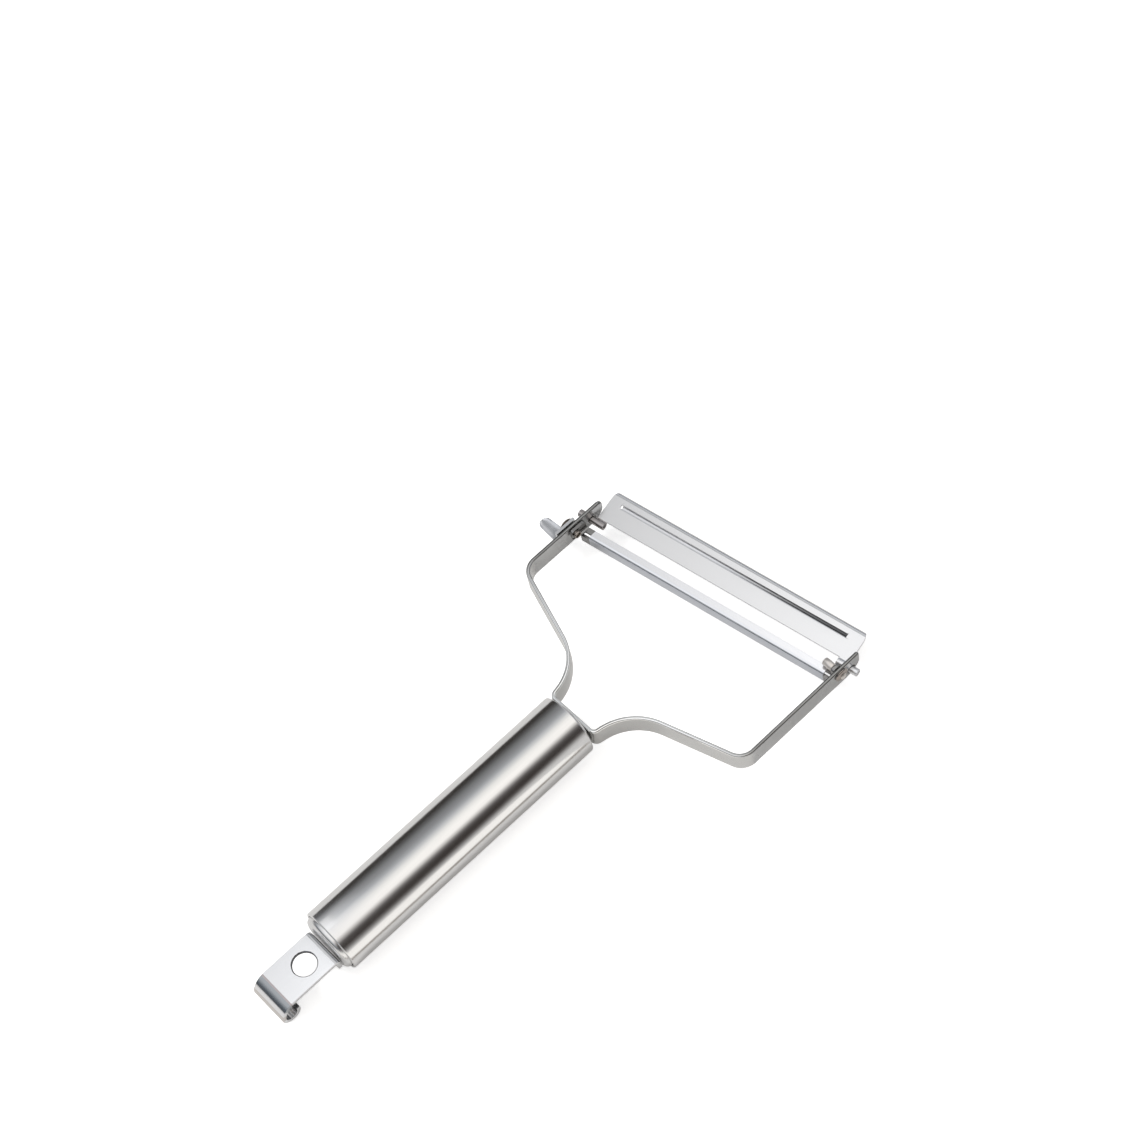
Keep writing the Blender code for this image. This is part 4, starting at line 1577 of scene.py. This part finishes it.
@dataclass(frozen=True)
class Card:
    """A level, glowing card that only reflections show.

    Attributes:
        name: The card's name.
        corners: Its four corners in turn as (x, y, light), in millimetres from the datum.
        z: Its height.
        colour: The colour of its light.
    """

    name: str
    corners: tuple[tuple[float, float, float], ...]
    z: float
    colour: Colour

    def build(self) -> None:
        """Lay the card at its height, with its light shaded from corner to corner."""
        shape = bmesh.new()
        shape.faces.new([shape.verts.new((x, y, self.z)) for x, y, _ in self.corners])
        card = new_object(self.name, shape, Matrix.Identity(4))
        glow = card.data.color_attributes.new("glow", "FLOAT_COLOR", "POINT")
        for place, (_, _, light) in zip(glow.data, self.corners):
            place.color = (*(light * part for part in self.colour), 1.0)
        made, tree, shader = new_material(self.name)
        shine = tree.node("Attribute", attribute_name="glow")
        tree.feed(shader, {
            "Base Color": BLACK,
            "Specular IOR Level": 0.0,
            "Emission Color": shine.outputs["Color"],
            "Emission Strength": 1.0,
        })
        card.data.materials.append(made)
        card.visible_camera = False
        card.visible_diffuse = False
        card.visible_shadow = False
        card.visible_transmission = False


class WorldTree(NodeTree):
    """The world's node tree, with the steps, ramps and mixes that its light is made of."""

    def smooth(self, source: bpy.types.NodeSocket,
               limits: tuple[float, float]) -> bpy.types.NodeSocket:
        """Add a smooth step.

        Args:
            source: What it follows.
            limits: Where it is 0 and where it is 1.

        Returns:
            The step.
        """
        step = self.node("MapRange", {"Value": source, "From Min": limits[0],
                                      "From Max": limits[1]}, interpolation_type="SMOOTHSTEP")
        return step.outputs["Result"]

    def ramp(self, source: bpy.types.NodeSocket, stops: Stops,
             full: float = 1.0) -> bpy.types.NodeSocket:
        """Add a colour ramp.

        Args:
            source: What it follows, from 0 to 1.
            stops: The ramp's stops, as a place and a colour.
            full: The place where the source is 1.

        Returns:
            The ramp's colour.
        """
        made = self.node("ValToRGB", {"Fac": source})
        while len(made.color_ramp.elements) < len(stops):
            made.color_ramp.elements.new(0.5)
        for element, (place, colour) in zip(made.color_ramp.elements, stops):
            element.position = place / full
            element.color = (*colour, 1.0)
        return made.outputs["Color"]

    def mix(self, factor: bpy.types.NodeSocket, first: object,
            second: object) -> bpy.types.NodeSocket:
        """Mix two colours.

        Args:
            factor: How much there is of the second one.
            first: A colour or a socket.
            second: A colour or a socket.

        Returns:
            The mixed colour.
        """
        made = self.node("Mix", {"Factor": factor, "A": first, "B": second}, data_type="RGBA")
        return made.outputs["Result"]


@dataclass
class Studio:
    """The floor, the light around the peeler, the lamp and the camera.

    The stops of light_across and light_behind are degrees from +Y over +Z, across the handle
    and from behind its end. Those of light_ends, the light from both ends, are heights from 0
    to 1. The limits of behind_from and ends_from are shares of the direction along X.
    """

    floor_z: float = -9.5
    floor_size: float = 6.0
    floor_colour: Colour = (0.80, 0.79, 0.775)
    floor_glow: float = 0.6
    card_rise: float = 0.1
    lamp_power: float = 6.0
    lamp_size: float = 0.5
    lamp_place: tuple[float, float, float] = (-0.45, 0.55, 1.0)
    aim: tuple[float, float, float] = (33.4, 38.5, 0.0)
    azimuth: float = -30.28
    elevation: float = 59.29
    roll: float = -14.96
    distance: float = 760.4
    lens: float = 86.48
    sensor: float = 36.0
    behind_from: tuple[float, float] = (-0.03, 0.02)
    ends_from: tuple[float, float] = (0.42, 0.66)
    light_across: Stops = (
        (0.0, (0.40, 0.39, 0.38)),
        (3.0, (0.06, 0.055, 0.052)),
        (15.0, (0.045, 0.040, 0.037)),
        (28.0, (0.106, 0.106, 0.106)),
        (43.0, (0.22, 0.225, 0.23)),
        (57.0, (0.31, 0.318, 0.33)),
        (70.0, (0.44, 0.455, 0.475)),
        (82.0, (0.74, 0.75, 0.76)),
        (94.0, (1.10, 1.09, 1.06)),
        (106.0, (1.26, 1.235, 1.20)),
        (120.0, (1.26, 1.23, 1.19)),
        (129.0, (0.68, 0.66, 0.64)),
        (135.0, (0.27, 0.255, 0.25)),
        (141.0, (0.11, 0.10, 0.098)),
        (149.0, (0.058, 0.050, 0.047)),
        (158.0, (0.044, 0.037, 0.034)),
        (164.0, (0.095, 0.086, 0.082)),
        (170.0, (0.26, 0.25, 0.245)),
        (177.0, (0.56, 0.55, 0.545)),
        (180.0, (0.78, 0.77, 0.76)),
    )
    light_behind: Stops = (
        (0.0, (0.30, 0.30, 0.31)),
        (20.0, (0.30, 0.31, 0.33)),
        (42.0, (0.78, 0.80, 0.83)),
        (64.0, (0.90, 0.92, 0.96)),
        (70.0, (0.86, 0.88, 0.92)),
        (76.0, (1.12, 1.13, 1.16)),
        (120.0, (1.20, 1.18, 1.16)),
        (129.0, (0.68, 0.66, 0.64)),
        (141.0, (0.11, 0.10, 0.098)),
        (158.0, (0.05, 0.043, 0.040)),
        (170.0, (0.26, 0.25, 0.245)),
        (180.0, (0.78, 0.77, 0.76)),
    )
    light_ends: Stops = (
        (0.0, (0.42, 0.41, 0.40)),
        (0.10, (0.13, 0.14, 0.155)),
        (0.30, (0.17, 0.19, 0.22)),
        (0.48, (0.52, 0.54, 0.57)),
        (0.62, (0.90, 0.90, 0.92)),
        (0.80, (1.00, 1.00, 1.00)),
    )

    def build(self) -> None:
        """Set the stage, the light and the camera."""
        self._floor()
        self._cards()
        self._world()
        self._lamp()
        self._camera()
        bpy.context.scene.view_settings.view_transform = "Standard"

    def _floor(self) -> None:
        """Lay a pale floor that shows white to the camera and keeps the shadow."""
        shape = bmesh.new()
        bmesh.ops.create_grid(shape, x_segments=1, y_segments=1, size=self.floor_size / 2 / MM)
        floor = new_object("floor", shape, Matrix.Translation((0, 0, self.floor_z)))
        made, tree, shader = new_material("floor_paper")
        seen = tree.node("LightPath").outputs["Is Camera Ray"]
        tree.feed(shader, {
            "Base Color": (*self.floor_colour, 1.0),
            "Roughness": 0.9,
            "Specular IOR Level": 0.0,
            "Emission Color": WHITE,
            "Emission Strength": tree.math("MULTIPLY", seen, self.floor_glow),
        })
        floor.data.materials.append(made)

    def _cards(self) -> None:
        """Lay the reflector beside the handle, and the cards over the blade and the tab."""
        height = self.floor_z + self.card_rise
        for card in (
            Card("side_reflector", ((-260.0, -600.0, 1.2), (6.0, -600.0, 1.2),
                                    (6.0, -31.0, 1.2), (-260.0, -31.0, 1.2)),
                 height, (1.0, 0.98, 0.95)),
            Card("reflector_edge", ((-260.0, -31.0, 0.42), (6.0, -31.0, 0.42),
                                    (6.0, -23.5, 0.42), (-260.0, -23.5, 0.42)),
                 height, (1.0, 0.93, 0.86)),
            Card("blade_card", ((51.0, -30.0, 1.08), (88.0, -30.0, 1.26),
                                (71.0, 76.0, 0.80), (35.0, 76.0, 0.60)),
                 60.0, (1.0, 1.0, 1.0)),
            Card("tab_card", ((-114.0, 2.0, 1.10), (-84.3, 2.0, 1.30),
                              (-84.3, 34.0, 0.90), (-114.0, 34.0, 0.86)),
                 40.0, (0.99, 1.0, 1.02)),
        ):
            card.build()

    def _world(self) -> None:
        """Surround the peeler with soft long panels and dark gaps between them.

        The light depends only on where it comes from. Its angle around the X axis sets the
        band, the handle's end adds a paler panel, and both ends are dim near the horizon.
        """
        world = bpy.data.worlds.new("soft_panels")
        bpy.context.scene.world = world
        world.use_nodes = True
        world.node_tree.nodes.clear()
        tree = WorldTree(world.node_tree)
        place = tree.node("TexCoord")
        parts = tree.node("SeparateXYZ", {0: place.outputs["Generated"]})
        ahead, left, up = (parts.outputs[axis] for axis in "XYZ")
        turn = tree.node("MapRange", {
            "Value": tree.math("ARCTAN2", up, left), "From Min": 0.0, "From Max": math.pi})
        share = turn.outputs["Result"]
        side = tree.mix(tree.smooth(ahead, self.behind_from),
                        tree.ramp(share, self.light_behind, HALF_TURN),
                        tree.ramp(share, self.light_across, HALF_TURN))
        light = tree.mix(tree.smooth(tree.math("ABSOLUTE", ahead), self.ends_from), side,
                         tree.ramp(up, self.light_ends))
        seen = tree.node("LightPath").outputs["Is Camera Ray"]
        background = tree.node("Background", {"Color": tree.mix(seen, light, WHITE)})
        tree.node("OutputWorld", {"Surface": background.outputs[0]})

    def _lamp(self) -> None:
        """Hang one soft lamp over the peeler for its shadow."""
        data = bpy.data.lights.new("soft_lamp", "AREA")
        data.shape = "DISK"
        data.size = self.lamp_size
        data.energy = self.lamp_power
        lamp = bpy.data.objects.new("soft_lamp", data)
        lamp.location = self.lamp_place
        lamp.rotation_euler = (-lamp.location).to_track_quat("-Z", "Y").to_euler()
        lamp.visible_glossy = False
        bpy.context.scene.collection.objects.link(lamp)

    def _camera(self) -> None:
        """Place the camera at the photograph's viewpoint."""
        data = bpy.data.cameras.new("photo_camera")
        data.sensor_width = self.sensor
        data.lens = self.lens
        data.clip_start = 0.01
        data.clip_end = 20.0
        camera = bpy.data.objects.new("photo_camera", data)
        turn = (
            Matrix.Rotation(math.radians(self.azimuth), 4, "Z")
            @ Matrix.Rotation(math.radians(90.0 - self.elevation), 4, "X")
            @ Matrix.Rotation(math.radians(self.roll), 4, "Z")
        )
        aim = DATUM + Vector(self.aim) * MM
        camera.matrix_world = Matrix.Translation(
            aim + turn.to_3x3() @ Vector((0, 0, self.distance * MM))) @ turn
        bpy.context.scene.collection.objects.link(camera)
        bpy.context.scene.camera = camera


def main() -> None:
    """Build the peeler's looks and the studio."""
    logging.basicConfig(level=logging.INFO, format="%(name)s: %(message)s")
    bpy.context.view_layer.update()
    for build_group in (brushing_group, handling_group, painted_shade_group, tint_group):
        build_group()
    handle = Handle()
    yoke = Yoke()
    bar = GuardBar(yoke)
    for assembly in (handle, yoke, Blade(yoke), bar, Rivets(yoke, bar), EyeRemover(yoke),
                     HangingTab(handle)):
        assembly.build()
    Studio().build()


if __name__ == "__main__":
    main()
